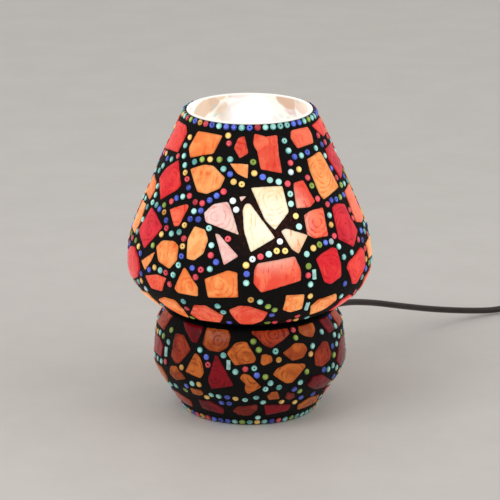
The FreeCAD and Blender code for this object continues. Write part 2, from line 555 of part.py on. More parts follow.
def side_spots(tiles, span, taken):
    """Beads that follow the shards' outlines, one bead away from them, beside the two seams."""
    away = BEAD_R + BEAD_GAP + 0.05
    placed = []
    for _, outline in tiles:
        for (a0, h0), (a1, h1) in zip(outline, outline[1:] + outline[:1]):
            dx, dy = flat(a1, h1, a0, h0)
            length = math.hypot(dx, dy)
            for k in range(int(length / 1.3) + 1):
                a, h = a0 + (a1 - a0) * k * 1.3 / length, h0 + (h1 - h0) * k * 1.3 / length
                for side in (1, -1):
                    across, up = -side * away * dy / length, side * away * dx / length
                    angle, height = step_on_surface(a, h, across, up)
                    if abs(abs((angle + 180) % 360 - 180) - 90) > SIDE_STRIP:
                        continue
                    if not span[0] + BEAD_R < height < span[1] - BEAD_R:
                        continue
                    outlines, beads = nearby(angle, height, tiles, taken + placed)
                    if any(math.hypot(*flat(b[0], b[1], angle, height)) < BEAD_PITCH for b in beads):
                        continue
                    if room_for_bead(angle, height, outlines, beads) >= 0:
                        placed.append((angle, height))
    return placed


def ring_spots(ring):
    height, count = ring
    return [(360.0 * k / count, height) for k in range(count)]


def bead(angle, height):
    centre, normal, _ = on_surface(angle, height, BEAD_SEAT)
    return Part.makeTorus(BEAD_RING_R, BEAD_TUBE_R, centre, normal)


def tube_bead(angle, height):
    centre, normal, tangent = on_surface(angle, height, TUBE_BEAD_SEAT)
    along = normal.cross(tangent)
    return cylinder(TUBE_BEAD_R, TUBE_BEAD_LENGTH, centre - along * (TUBE_BEAD_LENGTH / 2), along)


def place_beads(part_name, front_beads, tiles, span, rings, keep_clear):
    """Every bead of the shade or the base by colour."""
    chooser = random.Random(part_name)
    names = list(BEAD_COLOURS)
    weights = list(BEAD_COLOURS.values())
    beads = {name: [] for name in list(front_beads) + names}
    taken = list(keep_clear)
    for ring in rings:
        for spot in ring_spots(ring):
            beads[chooser.choices(names, weights)[0]].append(spot)
            taken.append(spot)
    for half_turn in (0, 180):
        for colour, listed in front_beads.items():
            for angle, height in listed:
                spot = settled(angle + half_turn, height, tiles, taken)
                if spot is None:
                    continue
                back_colour = chooser.choices(names, weights)[0]
                beads[back_colour if half_turn else colour].append(spot)
                taken.append(spot)
    for spot in side_spots(tiles, span, taken):
        beads[chooser.choices(names, weights)[0]].append(spot)
    return beads


def make_mosaic(part_name, front, back_colour, front_beads, cement, span, rings, keep_clear):
    """The cement skin, the shards by colour and the beads by colour of the shade or the base."""
    tiles = all_tiles(front, back_colour)
    prisms = [tile_prism(outline) for _, outline in tiles]
    grout = layer(cement, BOND_GAP, GROUT_THICK).cut(prisms + [cord_hole()])
    export(part_name + "_grout", grout.Solids)
    shard_skin = layer(span, BOND_GAP, TILE_THICK)
    shards = {}
    for (colour, _), prism in zip(tiles, prisms):
        shards.setdefault(colour, []).extend(prism.common(shard_skin).Solids)
    for colour in sorted(shards):
        export("%s_tiles_%s" % (part_name, colour), shards[colour])
    for colour, spots in place_beads(part_name, front_beads, tiles, span, rings, keep_clear).items():
        export("%s_beads_%s" % (part_name, colour), [bead(*spot) for spot in spots])


# --- lamp holder, bulb and bracket ---------------------------------------------------------
def make_holder(glass):
    arm_middle = V((BRACKET_REACH + 12) / 2, 0, BRACKET_Z + BRACKET_THICK / 2)
    arms = [box((BRACKET_REACH - 12, 8, BRACKET_THICK), arm_middle) for _ in range(3)]
    hub = tube(20, HOLDER_R + 0.15, BRACKET_THICK, UP * BRACKET_Z)
    pads = []
    for k, arm in enumerate(arms):
        angle = 90 + 120 * k
        arm.rotate(V(0, 0, 0), UP, angle)
        hub = hub.fuse(arm)
        pad = cylinder(3.4, 4, V(BRACKET_REACH - 4.2, 0, BRACKET_Z - 4))
        pad.rotate(V(0, 0, 0), UP, angle)
        pads.append(max(pad.cut(glass).Solids, key=lambda s: s.BoundBox.ZMax))
    hub = hub.cut(cylinder(HOLDER_R + 0.15, 4, UP * (BRACKET_Z - 1)))
    export("holder_bracket", hub.removeSplitter().Solids)
    export("bracket_pads", pads)
    export("holder_sleeve", [revolve([(HOLDER_R, 62), (HOLDER_R, HOLDER_TOP), (8.6, HOLDER_TOP), (8.6, 96.4),
                                      (12.8, 96.4), (12.8, 62)])])
    export("holder_cap", [revolve([(2.35, HOLDER_BOTTOM), (9, HOLDER_BOTTOM), (12.6, 48.4), (HOLDER_R, 52),
                                   (HOLDER_R, 61.9), (12.5, 61.9), (12.5, 52.4), (8.4, 47.6),
                                       (2.35, 47.6)])])
    rings = []
    bore = HOLDER_R + 0.05
    for low in (BRACKET_Z + BRACKET_THICK + 0.05, BRACKET_Z - 4.05):
        rings.append(revolve([(bore, low), (19, low), (19, low + 2.2), (17.4, low + 4), (bore, low + 4)]))
    export("clamp_rings", rings)
    block = cylinder(12.4, 9.5, UP * 62.4)
    screws = []
    for side in (1, -1):
        block = block.cut(cylinder(1.35, 9.5, V(8 * side, 0, 62.4)))
        screws.append(cylinder(1.3, 8, V(8 * side, 0, 62.4)).fuse(cylinder(2.3, 1.8, V(8 * side, 0, 60.6))))
    export("terminal_block", [block])
    export("terminal_screws", screws)
    shell = [(7.3, 72), (11.4, 72), (11.4, 72.7), (7.8, 72.7), (7.8, 95.6), (7.3, 95.6)]
    export("screw_shell", [revolve(shell)])
    export("centre_contact", [revolve([(0, 72), (3.4, 72), (3.4, 72.5), (2.0, 73.6), (0, 74.1)])])
    wires = []
    for side in (1, -1):
        route = [V(1.1 * side, 0, 49.1), V(1.1 * side, 0, 53), V(8 * side, 0, 57), V(8 * side, 0, 60.5)]
        wires.append(swept_tube(route, 0.8))
    export("holder_wires", wires)


def make_bulb():
    """Screw cap with its thread, the envelope, and what the envelope holds."""
    thread = [(CAP_R - 0.9, 77.0)]
    for k in range(5):
        thread += [(CAP_R, 79.0 + 2.8 * k), (CAP_R - 0.5, 80.4 + 2.8 * k)]
    thread += [(CAP_R, 93.2), (6.9, 95.0), (6.9, 101.0), (6.5, 101.0), (6.5, 95.0), (CAP_R - 0.8, 93.2)]
    thread += [(CAP_R - 1.3, 80.4), (CAP_R - 1.3, 77.0)]
    export("bulb_cap", [revolve(thread)])
    export("bulb_insulator", [revolve([(2.6, 75.0), (3.4, 75.0), (5.9, 76.2), (5.9, 76.9), (2.6, 76.9)])])
    contact = [(0, BULB_TIP_Z), (1.6, BULB_TIP_Z), (2.5, 75.0), (2.5, 76.8), (0, 76.8)]
    export("bulb_contact", [revolve(contact)])
    ball_low = BULB_CENTRE_Z - BULB_R * math.cos(math.radians(28))
    neck_out = [(6.4, 96.0), (6.4, 101.5), (BULB_R * math.sin(math.radians(28)), ball_low)]
    outer = Part.Arc(V(neck_out[2][0], 0, neck_out[2][1]), V(BULB_R, 0, BULB_CENTRE_Z),
                     V(0, 0, BULB_CENTRE_Z + BULB_R)).toShape()
    wall = 0.7
    inner = Part.Arc(V(neck_out[2][0] - wall, 0, neck_out[2][1]), V(BULB_R - wall, 0, BULB_CENTRE_Z),
                     V(0, 0, BULB_CENTRE_Z + BULB_R - wall)).toShape()
    points = [V(r, 0, z) for r, z in neck_out]
    inside = [V(r - wall, 0, z) for r, z in neck_out]
    edges = [Part.LineSegment(a, b).toShape() for a, b in zip(points, points[1:])]
    edges += [Part.LineSegment(a, b).toShape() for a, b in zip(inside, inside[1:])]
    edges.append(Part.LineSegment(points[0], inside[0]).toShape())
    top = UP * (BULB_CENTRE_Z + BULB_R)
    edges.append(Part.LineSegment(top, top - UP * wall).toShape())
    wire = Part.Wire(Part.__sortEdges__(edges + [outer, inner]))
    export("bulb_envelope", [Part.Face(wire).revolve(V(0, 0, 0), UP, 360)])
    stem = revolve([(0, 97), (5.4, 97), (3.2, 100), (1.8, 112), (2.4, 115), (0, 116)])
    export("bulb_stem", [stem])
    supports = []
    for side in (1, -1):
        route = [V(1.2 * side, 0, 116.2), V(3 * side, 0, 122), V(7.5 * side, 0, BULB_CENTRE_Z - 0.5)]
        supports.append(swept_tube(route, 0.25))
    export("filament_supports", supports)
    arc = []
    for k in range(7):
        turn = math.pi * k / 6
        arc.append(V(7.5 * math.cos(turn), 0, BULB_CENTRE_Z + 0.1 + 5 * math.sin(turn)))
    export("filament", [swept_tube(arc, 0.35)])


# --- cord, grommet and strain relief -------------------------------------------------------
def swept_tube(route, radius):
    """A round tube along straight runs joined by tangent arcs, each as large as its runs allow."""
    edges = []
    start = route[0]
    radii = []
    for last, corner, after in zip(route, route[1:], route[2:]):
        u = (last - corner).normalize()
        w = (after - corner).normalize()
        reach = 0.45 * min((last - corner).Length, (after - corner).Length)
        half_inside = u.getAngle(w) / 2
        bend = reach * math.tan(half_inside)
        radii.append(round(bend, 1))
        middle = corner + (u + w).normalize() * (bend / math.sin(half_inside) - bend)
        edges.append(Part.LineSegment(start, corner + u * reach).toShape())
        edges.append(Part.Arc(corner + u * reach, middle, corner + w * reach).toShape())
        start = corner + w * reach
    edges.append(Part.LineSegment(start, route[-1]).toShape())
    path = Part.Wire(edges)
    section = Part.Wire(Part.makeCircle(radius, route[0], route[1] - route[0]))
    solid = path.makePipeShell([section], True, False)
    expected = math.pi * radius ** 2 * path.Length
    print("    tube length %.1f  radii %s  volume ratio %.4f" % (path.Length, radii, solid.Volume / expected))
    return solid


def make_cord():
    out = radial(CORD_ANGLE)
    level = UP * CORD_EXIT_Z
    under_flange = [glass_at(CORD_EXIT_Z + step)[0] for step in (-GROMMET_FLANGE_R, 0, GROMMET_FLANGE_R)]
    outer_face = max(under_flange) + GROUT_THICK + 0.25
    inner_face = min(under_flange) - GLASS_WALL - 0.6
    relief_start = outer_face + 1.7
    relief_end = relief_start + RELIEF_LENGTH
    bore = CORD_R + 0.05
    grommet = [(bore, inner_face - 1.6), (GROMMET_FLANGE_R - 0.6, inner_face - 1.6),
               (GROMMET_FLANGE_R, inner_face - 0.8), (GROMMET_FLANGE_R, inner_face),
               (HOLE_R - 0.1, inner_face), (HOLE_R - 0.1, outer_face),
               (GROMMET_FLANGE_R, outer_face), (GROMMET_FLANGE_R, outer_face + 0.9),
               (GROMMET_FLANGE_R - 0.6, outer_face + 1.6), (bore, outer_face + 1.6)]
    export("cord_grommet", [revolve(grommet, level, out)])
    relief = [(bore, relief_start), (4.4, relief_start), (4.4, relief_start + 2)]
    for k in range(5):
        low = relief_start + 3 + 3.6 * k
        wide = 4.2 - 0.24 * k
        relief += [(wide, low), (wide, low + 2.2), (wide - 0.8, low + 2.6), (wide - 0.8, low + 3.4)]
    relief += [(2.9, relief_end - 2.4), (2.75, relief_end), (bore, relief_end)]
    export("strain_relief", [revolve(relief, level, out)])
    inner = [out * distance + UP * z for distance, z in INNER_ROUTE] + [out * (relief_end - 0.1) + level]
    print("    strain relief ends at", out * relief_end + level)
    export("inner_cord", [swept_tube(inner, CORD_R)])
    export("cord_lead", [swept_tube(LEAD_ROUTE, CORD_R)])
    export("cord_tail", [swept_tube(TAIL_ROUTE, CORD_R)])
    export("cord_end", [swept_tube(END_ROUTE, CORD_R)])


def make_coil():
    """The outer shape of the wound cord, and the strap that holds it."""
    low, high = COIL_R - COIL_HALF_WIDTH, COIL_R + COIL_HALF_WIDTH
    top = COIL_BOTTOM + COIL_HEIGHT
    ring = revolve([(low, COIL_BOTTOM), (high, COIL_BOTTOM), (high, top), (low, top)], COIL_CENTRE)
    export("cord_coil", [ring.makeFillet(1.8, ring.Edges)])
    middle = COIL_CENTRE + V(0, -COIL_R, COIL_BOTTOM + COIL_HEIGHT / 2)
    across = 2 * (COIL_HALF_WIDTH + TIE_SIDE_GAP)
    high = COIL_HEIGHT + 2 * TIE_GAP
    strap = box((TIE_WIDTH, across + 2 * TIE_THICK, high + 2 * TIE_THICK), middle)
    export("coil_tie", [strap.cut(box((TIE_WIDTH + 2, across, high), middle))])


# --- switch on the cord --------------------------------------------------------------------
def switch_shell(centre):
    """The hollow case with the two necks that the cord goes through."""
    length = SWITCH_LENGTH - 2 * SWITCH_NECK
    middle = centre + UP * (SWITCH_HEIGHT / 2)
    case = rounded_box((length, SWITCH_WIDTH, SWITCH_HEIGHT), middle, 7)
    case = case.makeFillet(2.0, [e for e in case.Edges if e.BoundBox.ZMin > SWITCH_HEIGHT - 0.1])
    hollow = [size - 2 * SWITCH_WALL for size in (length, SWITCH_WIDTH, SWITCH_HEIGHT)]
    case = case.cut(rounded_box(hollow, middle, 5.4))
    neck_length = SWITCH_NECK + SWITCH_WALL - 0.1
    for start in (SWITCH_START, SWITCH_START + V(SWITCH_LENGTH - neck_length, 0, 0)):
        case = case.fuse(cylinder(4.2, neck_length, start, V(1, 0, 0)))
    return case.cut(cylinder(CORD_R + 0.1, SWITCH_LENGTH, SWITCH_START, V(1, 0, 0)))


def make_switch():
    """A two-part case screwed together, with a rocker on a pin and two contact strips."""
    centre = V(SWITCH_START.x + SWITCH_LENGTH / 2, SWITCH_START.y, 0)
    split = SWITCH_HEIGHT / 2 - 0.2
    pivot = centre + UP * (SWITCH_HEIGHT - 2.4)
    shell = switch_shell(centre)
    upper = shell.common(box((90, 60, 40), centre + UP * (split + 20.05)))
    lower = shell.common(box((90, 60, 40), centre + UP * (split - 20.0)))
    upper = upper.cut(box((17.4, 9.2, 8), centre + UP * (SWITCH_HEIGHT - 1)))
    screws = []
    for end in (-1, 1):
        spot = centre + V(19 * end, 6.5 * end, 0)
        upper = upper.fuse(cylinder(3, SWITCH_HEIGHT - 1.2 - split - 0.05, spot + UP * (split + 0.05)))
        upper = upper.cut(cylinder(1.35, 5, spot + UP * split))
        lower = lower.fuse(cylinder(3.6, split, spot))
        lower = lower.cut([cylinder(1.6, 20, spot - UP * 2), cylinder(2.7, 3, spot - UP * 0.5)])
        screws.append(cylinder(1.3, 9, spot + UP * 2.4).fuse(cylinder(2.5, 1.6, spot + UP * 0.8)))
        upper = upper.fuse(box((5, 1.8, 5.4), centre + V(0, end * 5.7, SWITCH_HEIGHT - 1.2 - 2.7)))
    upper = upper.cut(cylinder(1.05, 14, pivot - V(0, 7, 0), V(0, 1, 0)))
    export("switch_upper_case", [upper.removeSplitter().Solids[0]])
    export("switch_lower_case", [lower.removeSplitter().Solids[0]])
    export("switch_case_screws", screws)
    export("rocker_pin", [cylinder(1.0, 12.6, pivot - V(0, 6.3, 0), V(0, 1, 0))])
    export("switch_rocker", [rocker(pivot)])
    strips = []
    terminals = []
    for end in (-1, 1):
        foot = box((9, 4, 0.6), centre + V(end * 9.5, 4.6 * end, 3.2))
        riser = box((0.6, 4, 3.4), centre + V(end * 5.3, 4.6 * end, 4.6))
        strips.append(foot.fuse(riser))
        terminals.append(cylinder(1.9, 1.6, centre + V(end * 11, 4.6 * end, 3.55)))
    export("switch_contacts", strips)
    export("switch_terminal_screws", terminals)


def rocker(pivot):
    """The rocker, seen from the side as (along the cord, up) from its pivot, tilted to one end."""
    side = [(-7.5, 3.6), (-3.5, 2.8), (3.5, 2.8), (7.5, 3.6),
            (6.9, -1.5), (3, -2.6), (-3, -2.6), (-6.9, -1.5)]
    outline = Part.makePolygon([pivot + V(x, -4.2, z) for x, z in side + side[:1]])
    body = Part.Face(outline).extrude(V(0, 8.4, 0))
    body = body.cut(cylinder(1.08, 20, pivot - V(0, 10, 0), V(0, 1, 0)))
    body.rotate(pivot, V(0, 1, 0), ROCKER_TILT)
    return body


# --- plug ----------------------------------------------------------------------------------
def make_plug():
    """A flat two-pin plug moulded on the cord's end, lying on the table."""
    along = V(0, -1, 0)
    length, thick = PLUG_BODY[1], PLUG_BODY[2]
    face = PLUG_FACE + along * (PLUG_NECK + length)
    body = rounded_box(PLUG_BODY, face - along * (length / 2), 5)
    flat_edges = [e for e in body.Edges if abs(e.CenterOfMass.z - PLUG_FACE.z) > thick / 2 - 0.1]
    body = body.makeFillet(2.2, flat_edges)
    body = body.fuse(Part.makeCone(3.0, 5.6, PLUG_NECK + 2, PLUG_FACE, along))
    pins = []
    sleeves = []
    for end in (-1, 1):
        root = face + V(end * PIN_PITCH / 2, 0, 0)
        bare_start = root + along * (PIN_LENGTH - PIN_BARE)
        core = cylinder(PIN_CORE_R, PIN_LENGTH - PIN_BARE + PIN_ROOT, root - along * PIN_ROOT, along)
        pin = core.fuse(cylinder(PIN_R, PIN_BARE, bare_start, along))
        tip = [e for e in pin.Edges if e.BoundBox.YMax < face.y - PIN_LENGTH + 0.1]
        pins.append(pin.makeFillet(1.2, tip))
        sleeve_length = PIN_LENGTH - PIN_BARE - 0.1
        sleeves.append(tube(PIN_SLEEVE_R, PIN_CORE_R + 0.05, sleeve_length, root + along * 0.05, along))
        body = body.cut(cylinder(PIN_CORE_R, PIN_ROOT, root - along * PIN_ROOT, along))
    export("plug_body", [body])
    export("plug_pins", pins)
    export("plug_pin_sleeves", sleeves)


def main():
    os.makedirs("parts", exist_ok=True)
    glass = glass_body()
    export("glass_body", [glass])
    near_tubes = [(a, h + step) for a, h in TUBE_BEADS for step in (-2.2, 2.2)]
    near_cord = [(CORD_ANGLE + 3.5 * math.cos(k), CORD_EXIT_Z + 3.5 * math.sin(k)) for k in range(6)]
    make_mosaic("shade", SHADE_TILES, SHADE_BACK, SHADE_BEADS, SHADE_CEMENT, SHADE_SPAN,
                [RIM_RING], near_tubes)
    make_mosaic("base", BASE_TILES, BASE_BACK, BASE_BEADS, BASE_CEMENT, BASE_SPAN,
                [FOOT_RING], near_tubes + near_cord)
    export("tube_beads", [tube_bead(a, h) for a, h in TUBE_BEADS])
    make_holder(glass)
    make_bulb()
    make_cord()
    make_coil()
    make_switch()
    make_plug()


main()
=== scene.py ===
"""Looks of the mosaic glass table lamp: shards, beads, cement, bulb, cord and studio."""
import math
import random

import bpy
import numpy as np
from mathutils import Matrix, Vector, noise
from mathutils.bvhtree import BVHTree
from mathutils.geometry import delaunay_2d_cdt
from mathutils.kdtree import KDTree


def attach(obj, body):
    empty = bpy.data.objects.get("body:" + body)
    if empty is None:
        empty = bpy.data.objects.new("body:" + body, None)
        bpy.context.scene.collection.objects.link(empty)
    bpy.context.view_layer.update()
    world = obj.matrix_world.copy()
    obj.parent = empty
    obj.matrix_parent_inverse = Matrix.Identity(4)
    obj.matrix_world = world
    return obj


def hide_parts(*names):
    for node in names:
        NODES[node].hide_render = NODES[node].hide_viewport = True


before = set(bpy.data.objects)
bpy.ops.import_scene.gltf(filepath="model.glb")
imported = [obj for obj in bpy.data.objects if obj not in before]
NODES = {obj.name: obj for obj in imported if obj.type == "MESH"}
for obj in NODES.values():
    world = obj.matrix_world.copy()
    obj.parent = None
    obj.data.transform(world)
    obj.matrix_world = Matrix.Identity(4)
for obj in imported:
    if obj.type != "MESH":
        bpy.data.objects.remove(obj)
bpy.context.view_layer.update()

MM = 0.001


def mm(*values):
    """A point given in millimetres, in metres."""
    return Vector(values) * MM


# --- camera ----------------------------------------------------------------------------------
CAMERA_PLACE = mm(0.2, -1750, 622)
CAMERA_PITCH = 16.605       # degrees below the horizon
CAMERA_LENS = 211.9         # on a 36 mm sensor


def make_camera():
    data = bpy.data.cameras.new("camera")
    data.sensor_width = 36
    data.lens = CAMERA_LENS
    data.clip_start = 0.05
    data.clip_end = 50
    camera = bpy.data.objects.new("camera", data)
    camera.location = CAMERA_PLACE
    camera.rotation_euler = (math.radians(90 - CAMERA_PITCH), 0, 0)
    bpy.context.scene.collection.objects.link(camera)
    bpy.context.scene.camera = camera


make_camera()

# --- cord ------------------------------------------------------------------------------------
CORD_RADIUS = 2.1 * MM
# The route, in millimetres: from the strain relief to the switch, to the coil and to the plug.
LEAD_ROUTE = [
    (47.83, 70.91, 40), (60, 88.5, 38.2), (80, 111, 31), (102, 132, 21.5), (127, 154, 12),
    (153, 173, 5), (171, 183, 2.4), (185, 188.5, 5), (199, 190, 7.3),
]
TAIL_ROUTE = [
    (259, 190, 7.3), (273, 191.8, 6.4), (289.5, 190.4, 2.8), (303.5, 180.2, 2.2), (309, 163.8, 2.2),
    (302.5, 147.6, 2.2), (286.5, 139.8, 2.2), (268, 142.8, 2.5), (250, 146.3, 3.1),
]
END_ROUTE = [
    (210.7, 105, 15.2), (211.6, 91, 9.2), (213.6, 77, 3.7), (216.2, 63.5, 3.6),
    (218, 50.5, 7), (218, 40, 7),
]
COIL_CENTRE = (238, 119)
COIL_OUTER_R = 27.3
COIL_INNER_R = 23.0
COIL_LOWEST = 3.1
COIL_LAYER = 4.3
COIL_PER_TURN = 16          # control points in each turn
COIL_SLOT = 15              # control points before the cord moves over to the next place
COIL_POINTS = 116           # seven and a quarter turns


def coil_turns():
    """Control points of the coil: two turns side by side and four deep, outer low to outer top."""
    # A spline of order 3 runs inside its control points. This is its mean radius for one of theirs.
    inset = (3 + math.cos(2 * math.pi / COIL_PER_TURN)) / 4
    points = []
    for k in range(COIL_POINTS + 1):
        slot = k // COIL_SLOT
        outer = slot % 4 in (0, 3)
        radius = (COIL_OUTER_R if outer else COIL_INNER_R) / inset
        turn = math.pi / 2 + 2 * math.pi * k / COIL_PER_TURN
        x = COIL_CENTRE[0] + radius * math.cos(turn)
        y = COIL_CENTRE[1] + radius * math.sin(turn)
        points.append((x, y, COIL_LOWEST + COIL_LAYER * (slot // 2)))
    return points


def make_cord():
    curve = bpy.data.curves.new("mains_cord", "CURVE")
    curve.dimensions = "3D"
    points = LEAD_ROUTE + TAIL_ROUTE + coil_turns() + END_ROUTE
    spline = curve.splines.new("NURBS")
    spline.points.add(len(points) - 1)
    for point, place in zip(spline.points, points):
        point.co = (*mm(*place), 1)
        point.radius = CORD_RADIUS
    spline.order_u = 3
    spline.use_endpoint_u = True
    curve.resolution_u = 10
    curve.bevel_depth = 1.0             # times each point's radius
    curve.bevel_resolution = 5
    curve.use_fill_caps = True
    cord = bpy.data.objects.new("mains_cord", curve)
    bpy.context.scene.collection.objects.link(cord)
    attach(cord, "lamp")
    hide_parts("cord_lead", "cord_tail", "cord_end", "cord_coil")
    on_cord = [NODES[name] for name in sorted(NODES) if name.startswith(("switch_", "plug_"))]
    on_cord += [NODES["coil_tie"], NODES["rocker_pin"]]
    mm(*LEAD_ROUTE[0])
    return cord


CORD = make_cord()

# --- the surface of the blown glass ----------------------------------------------------------
SHARD_HEIGHT = 1.85 * MM    # top of the shards above the glass
BEAD_SEAT = 1.2 * MM        # bead centres above the glass
PROFILE_LOW, PROFILE_HIGH = 0.3, 190.3      # heights that the profile is read between, in mm
PROFILE_STEP = 0.1
PROFILE_REACH = 3           # rows to each side that a normal is taken over
OUTSIDE = 0.2               # a radius well outside the lamp, in metres


def glass_profile():
    """Outside of the glass as points and outward normals in (radius, height), from foot to rim."""
    mesh = NODES["glass_body"].data
    tree = BVHTree.FromPolygons([v.co for v in mesh.vertices], [p.vertices for p in mesh.polygons])
    points = []
    for z in np.arange(PROFILE_LOW, PROFILE_HIGH, PROFILE_STEP) * MM:
        hit = tree.ray_cast(Vector((OUTSIDE, 0, z)), Vector((-1, 0, 0)))[0]
        points.append((hit.x, z))
    points = np.array(points)
    along = np.empty_like(points)
    reach = PROFILE_REACH
    along[reach:-reach] = points[2 * reach:] - points[:-2 * reach]
    along[:reach] = along[reach]
    along[-reach:] = along[-reach - 1]
    along /= np.linalg.norm(along, axis=1)[:, None]
    return points, np.stack([along[:, 1], -along[:, 0]], axis=1)


PROFILE, PROFILE_NORMALS = glass_profile()


def nearest_profile(point):
    """Number of the profile's row nearest to a point, and the point's distance from the axis."""
    radius = math.hypot(point[0], point[1])
    away = PROFILE - (radius, point[2])
    i = int(np.argmin(np.einsum("ij,ij->i", away, away)))
    return i, radius


def surface_frame(point):
    """Outward normal of the glass and the horizontal and upward tangents near a point."""
    i, radius = nearest_profile(point)
    out, up = PROFILE_NORMALS[i]
    side = Vector((point[0] / radius, point[1] / radius, 0))
    normal = Vector((side.x * out, side.y * out, up))
    across = Vector((-side.y, side.x, 0))
    return normal, across, normal.cross(across)


def above_glass(point):
    """Distance of a point from the glass."""
    i, radius = nearest_profile(point)
    return math.hypot(radius - PROFILE[i][0], point[2] - PROFILE[i][1])


# --- meshes ----------------------------------------------------------------------------------
WELD = 0.001 * MM           # corners nearer than this are one


def lumps(node):
    """The separate solids of a CAD node: the corners of all of them, and each one's triangles."""
    mesh = NODES[node].data
    flat = np.zeros(len(mesh.vertices) * 3)
    mesh.vertices.foreach_get("co", flat)
    grid = np.round(flat.reshape(-1, 3) / WELD).astype(np.int64)
    grid, welded = np.unique(grid, axis=0, return_inverse=True)
    mesh.calc_loop_triangles()
    triangles = np.zeros(len(mesh.loop_triangles) * 3, np.int64)
    mesh.loop_triangles.foreach_get("vertices", triangles)
    triangles = welded.ravel()[triangles].reshape(-1, 3)
    triangles = triangles[(triangles != np.roll(triangles, 1, axis=1)).all(axis=1)]
    labels = np.arange(len(grid))
    while True:
        lowest = labels[triangles].min(axis=1)
        spread = labels.copy()
        for corner in range(3):
            np.minimum.at(spread, triangles[:, corner], lowest)
        spread = spread[spread]
        if (spread == labels).all():
            break
        labels = spread
    triangles = triangles[np.argsort(labels[triangles[:, 0]], kind="stable")]
    keys = labels[triangles[:, 0]]
    return grid * WELD, np.split(triangles, np.flatnonzero(np.diff(keys)) + 1)


def rim_loop(triangles):
    """The vertex numbers round the open edge of a patch, in order."""
    edges = {}
    for a, b, c in triangles:
        for start, end in ((a, b), (b, c), (c, a)):
            if (end, start) in edges:
                del edges[(end, start)]
            else:
                edges[(start, end)] = True
    follow = {int(start): int(end) for start, end in edges}
    first = next(iter(follow))
    loop = [first]
    while follow[loop[-1]] != first:
        loop.append(follow[loop[-1]])
    return loop


def new_object(name, vertices, faces, material, node):
    """A mesh that stands for one CAD node of the lamp."""
    mesh = bpy.data.meshes.new(name)
    mesh.from_pydata(vertices, [], faces)
    mesh.validate()
    mesh.polygons.foreach_set("use_smooth", [True] * len(mesh.polygons))
    mesh.materials.append(material)
    made = bpy.data.objects.new(name, mesh)
    bpy.context.scene.collection.objects.link(made)
    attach(made, "lamp")
    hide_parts(node)
    return made


def set_attribute(obj, name, values, kind="FLOAT"):
    layer = obj.data.attributes.new(name, kind, "POINT")
    field = "value" if kind == "FLOAT" else "vector"
    layer.data.foreach_set(field, np.asarray(values, float).ravel())


# --- materials -------------------------------------------------------------------------------
def screen(red, green, blue):
    """A colour as it looks on screen, 0 to 255, as the linear colour that shaders take."""
    return tuple(((c / 255 + 0.055) / 1.055) ** 2.4 for c in (red, green, blue)) + (1,)


class Look:
    """A node material under construction."""

    def __init__(self, name, **constants):
        self.material = bpy.data.materials.new(name)
        self.material.use_nodes = True
        self.tree = self.material.node_tree
        self.shader = self.tree.nodes["Principled BSDF"]
        self.place = self.node("TexCoord").outputs["Object"]
        self.set(self.shader, {key.replace("_", " "): value for key, value in constants.items()})

    def set(self, node, inputs):
        for socket, value in inputs.items():
            if isinstance(value, bpy.types.NodeSocket):
                self.tree.links.new(value, node.inputs[socket])
            else:
                node.inputs[socket].default_value = value

    def node(self, kind, inputs=None, **settings):
        made = self.tree.nodes.new("ShaderNode" + kind)
        for key, value in settings.items():
            setattr(made, key, value)
        self.set(made, inputs or {})
        return made

    def attribute(self, name, output="Fac"):
        return self.node("Attribute", attribute_name=name).outputs[output]

    def noise(self, scale, detail=3, roughness=0.55, distortion=0.0, where=None):
        inputs = {"Vector": where or self.place, "Scale": scale, "Detail": detail,
                  "Roughness": roughness, "Distortion": distortion}
        return self.node("TexNoise", inputs).outputs["Fac"]

    def spread(self, value, low, high, to_low=0.0, to_high=1.0):
        inputs = {"Value": value, "From Min": low, "From Max": high,
                  "To Min": to_low, "To Max": to_high}
        return self.node("MapRange", inputs, interpolation_type="SMOOTHSTEP").outputs["Result"]

    def math(self, operation, a, b=0.0):
        return self.node("Math", {0: a, 1: b}, operation=operation).outputs[0]

    def times(self, a, b):
        return self.math("MULTIPLY", a, b)

    def mix(self, factor, a, b, blend="MIX"):
        inputs = {0: factor, 6: a, 7: b}
        return self.node("Mix", inputs, data_type="RGBA", blend_type=blend).outputs[2]

    def height(self):
        return self.node("SeparateXYZ", {0: self.place}).outputs["Z"]

    def scaled(self, colour, factor):
        made = self.node("VectorMath", {0: colour, "Scale": factor}, operation="SCALE")
        return made.outputs[0]

    def distance(self, point):
        made = self.node("VectorMath", {0: self.place, 1: point}, operation="DISTANCE")
        return made.outputs["Value"]

    def bump(self, height, distance, strength=1.0):
        inputs = {"Height": height, "Distance": distance, "Strength": strength}
        self.set(self.shader, {"Normal": self.node("Bump", inputs).outputs["Normal"]})


# painted hot spot: the glow of shards, beads and cement is brightest round it
HOT_SPOT = mm(10, -62, 134)         # where the bulb shines straight through the glass
# painted highlight: the inside of the shade burns out to white round this place
INNER_GLARE_SPOT = mm(2, 42, 172)         # the brightest place on the inside of the shade
WHITE_HOT = screen(255, 250, 226)


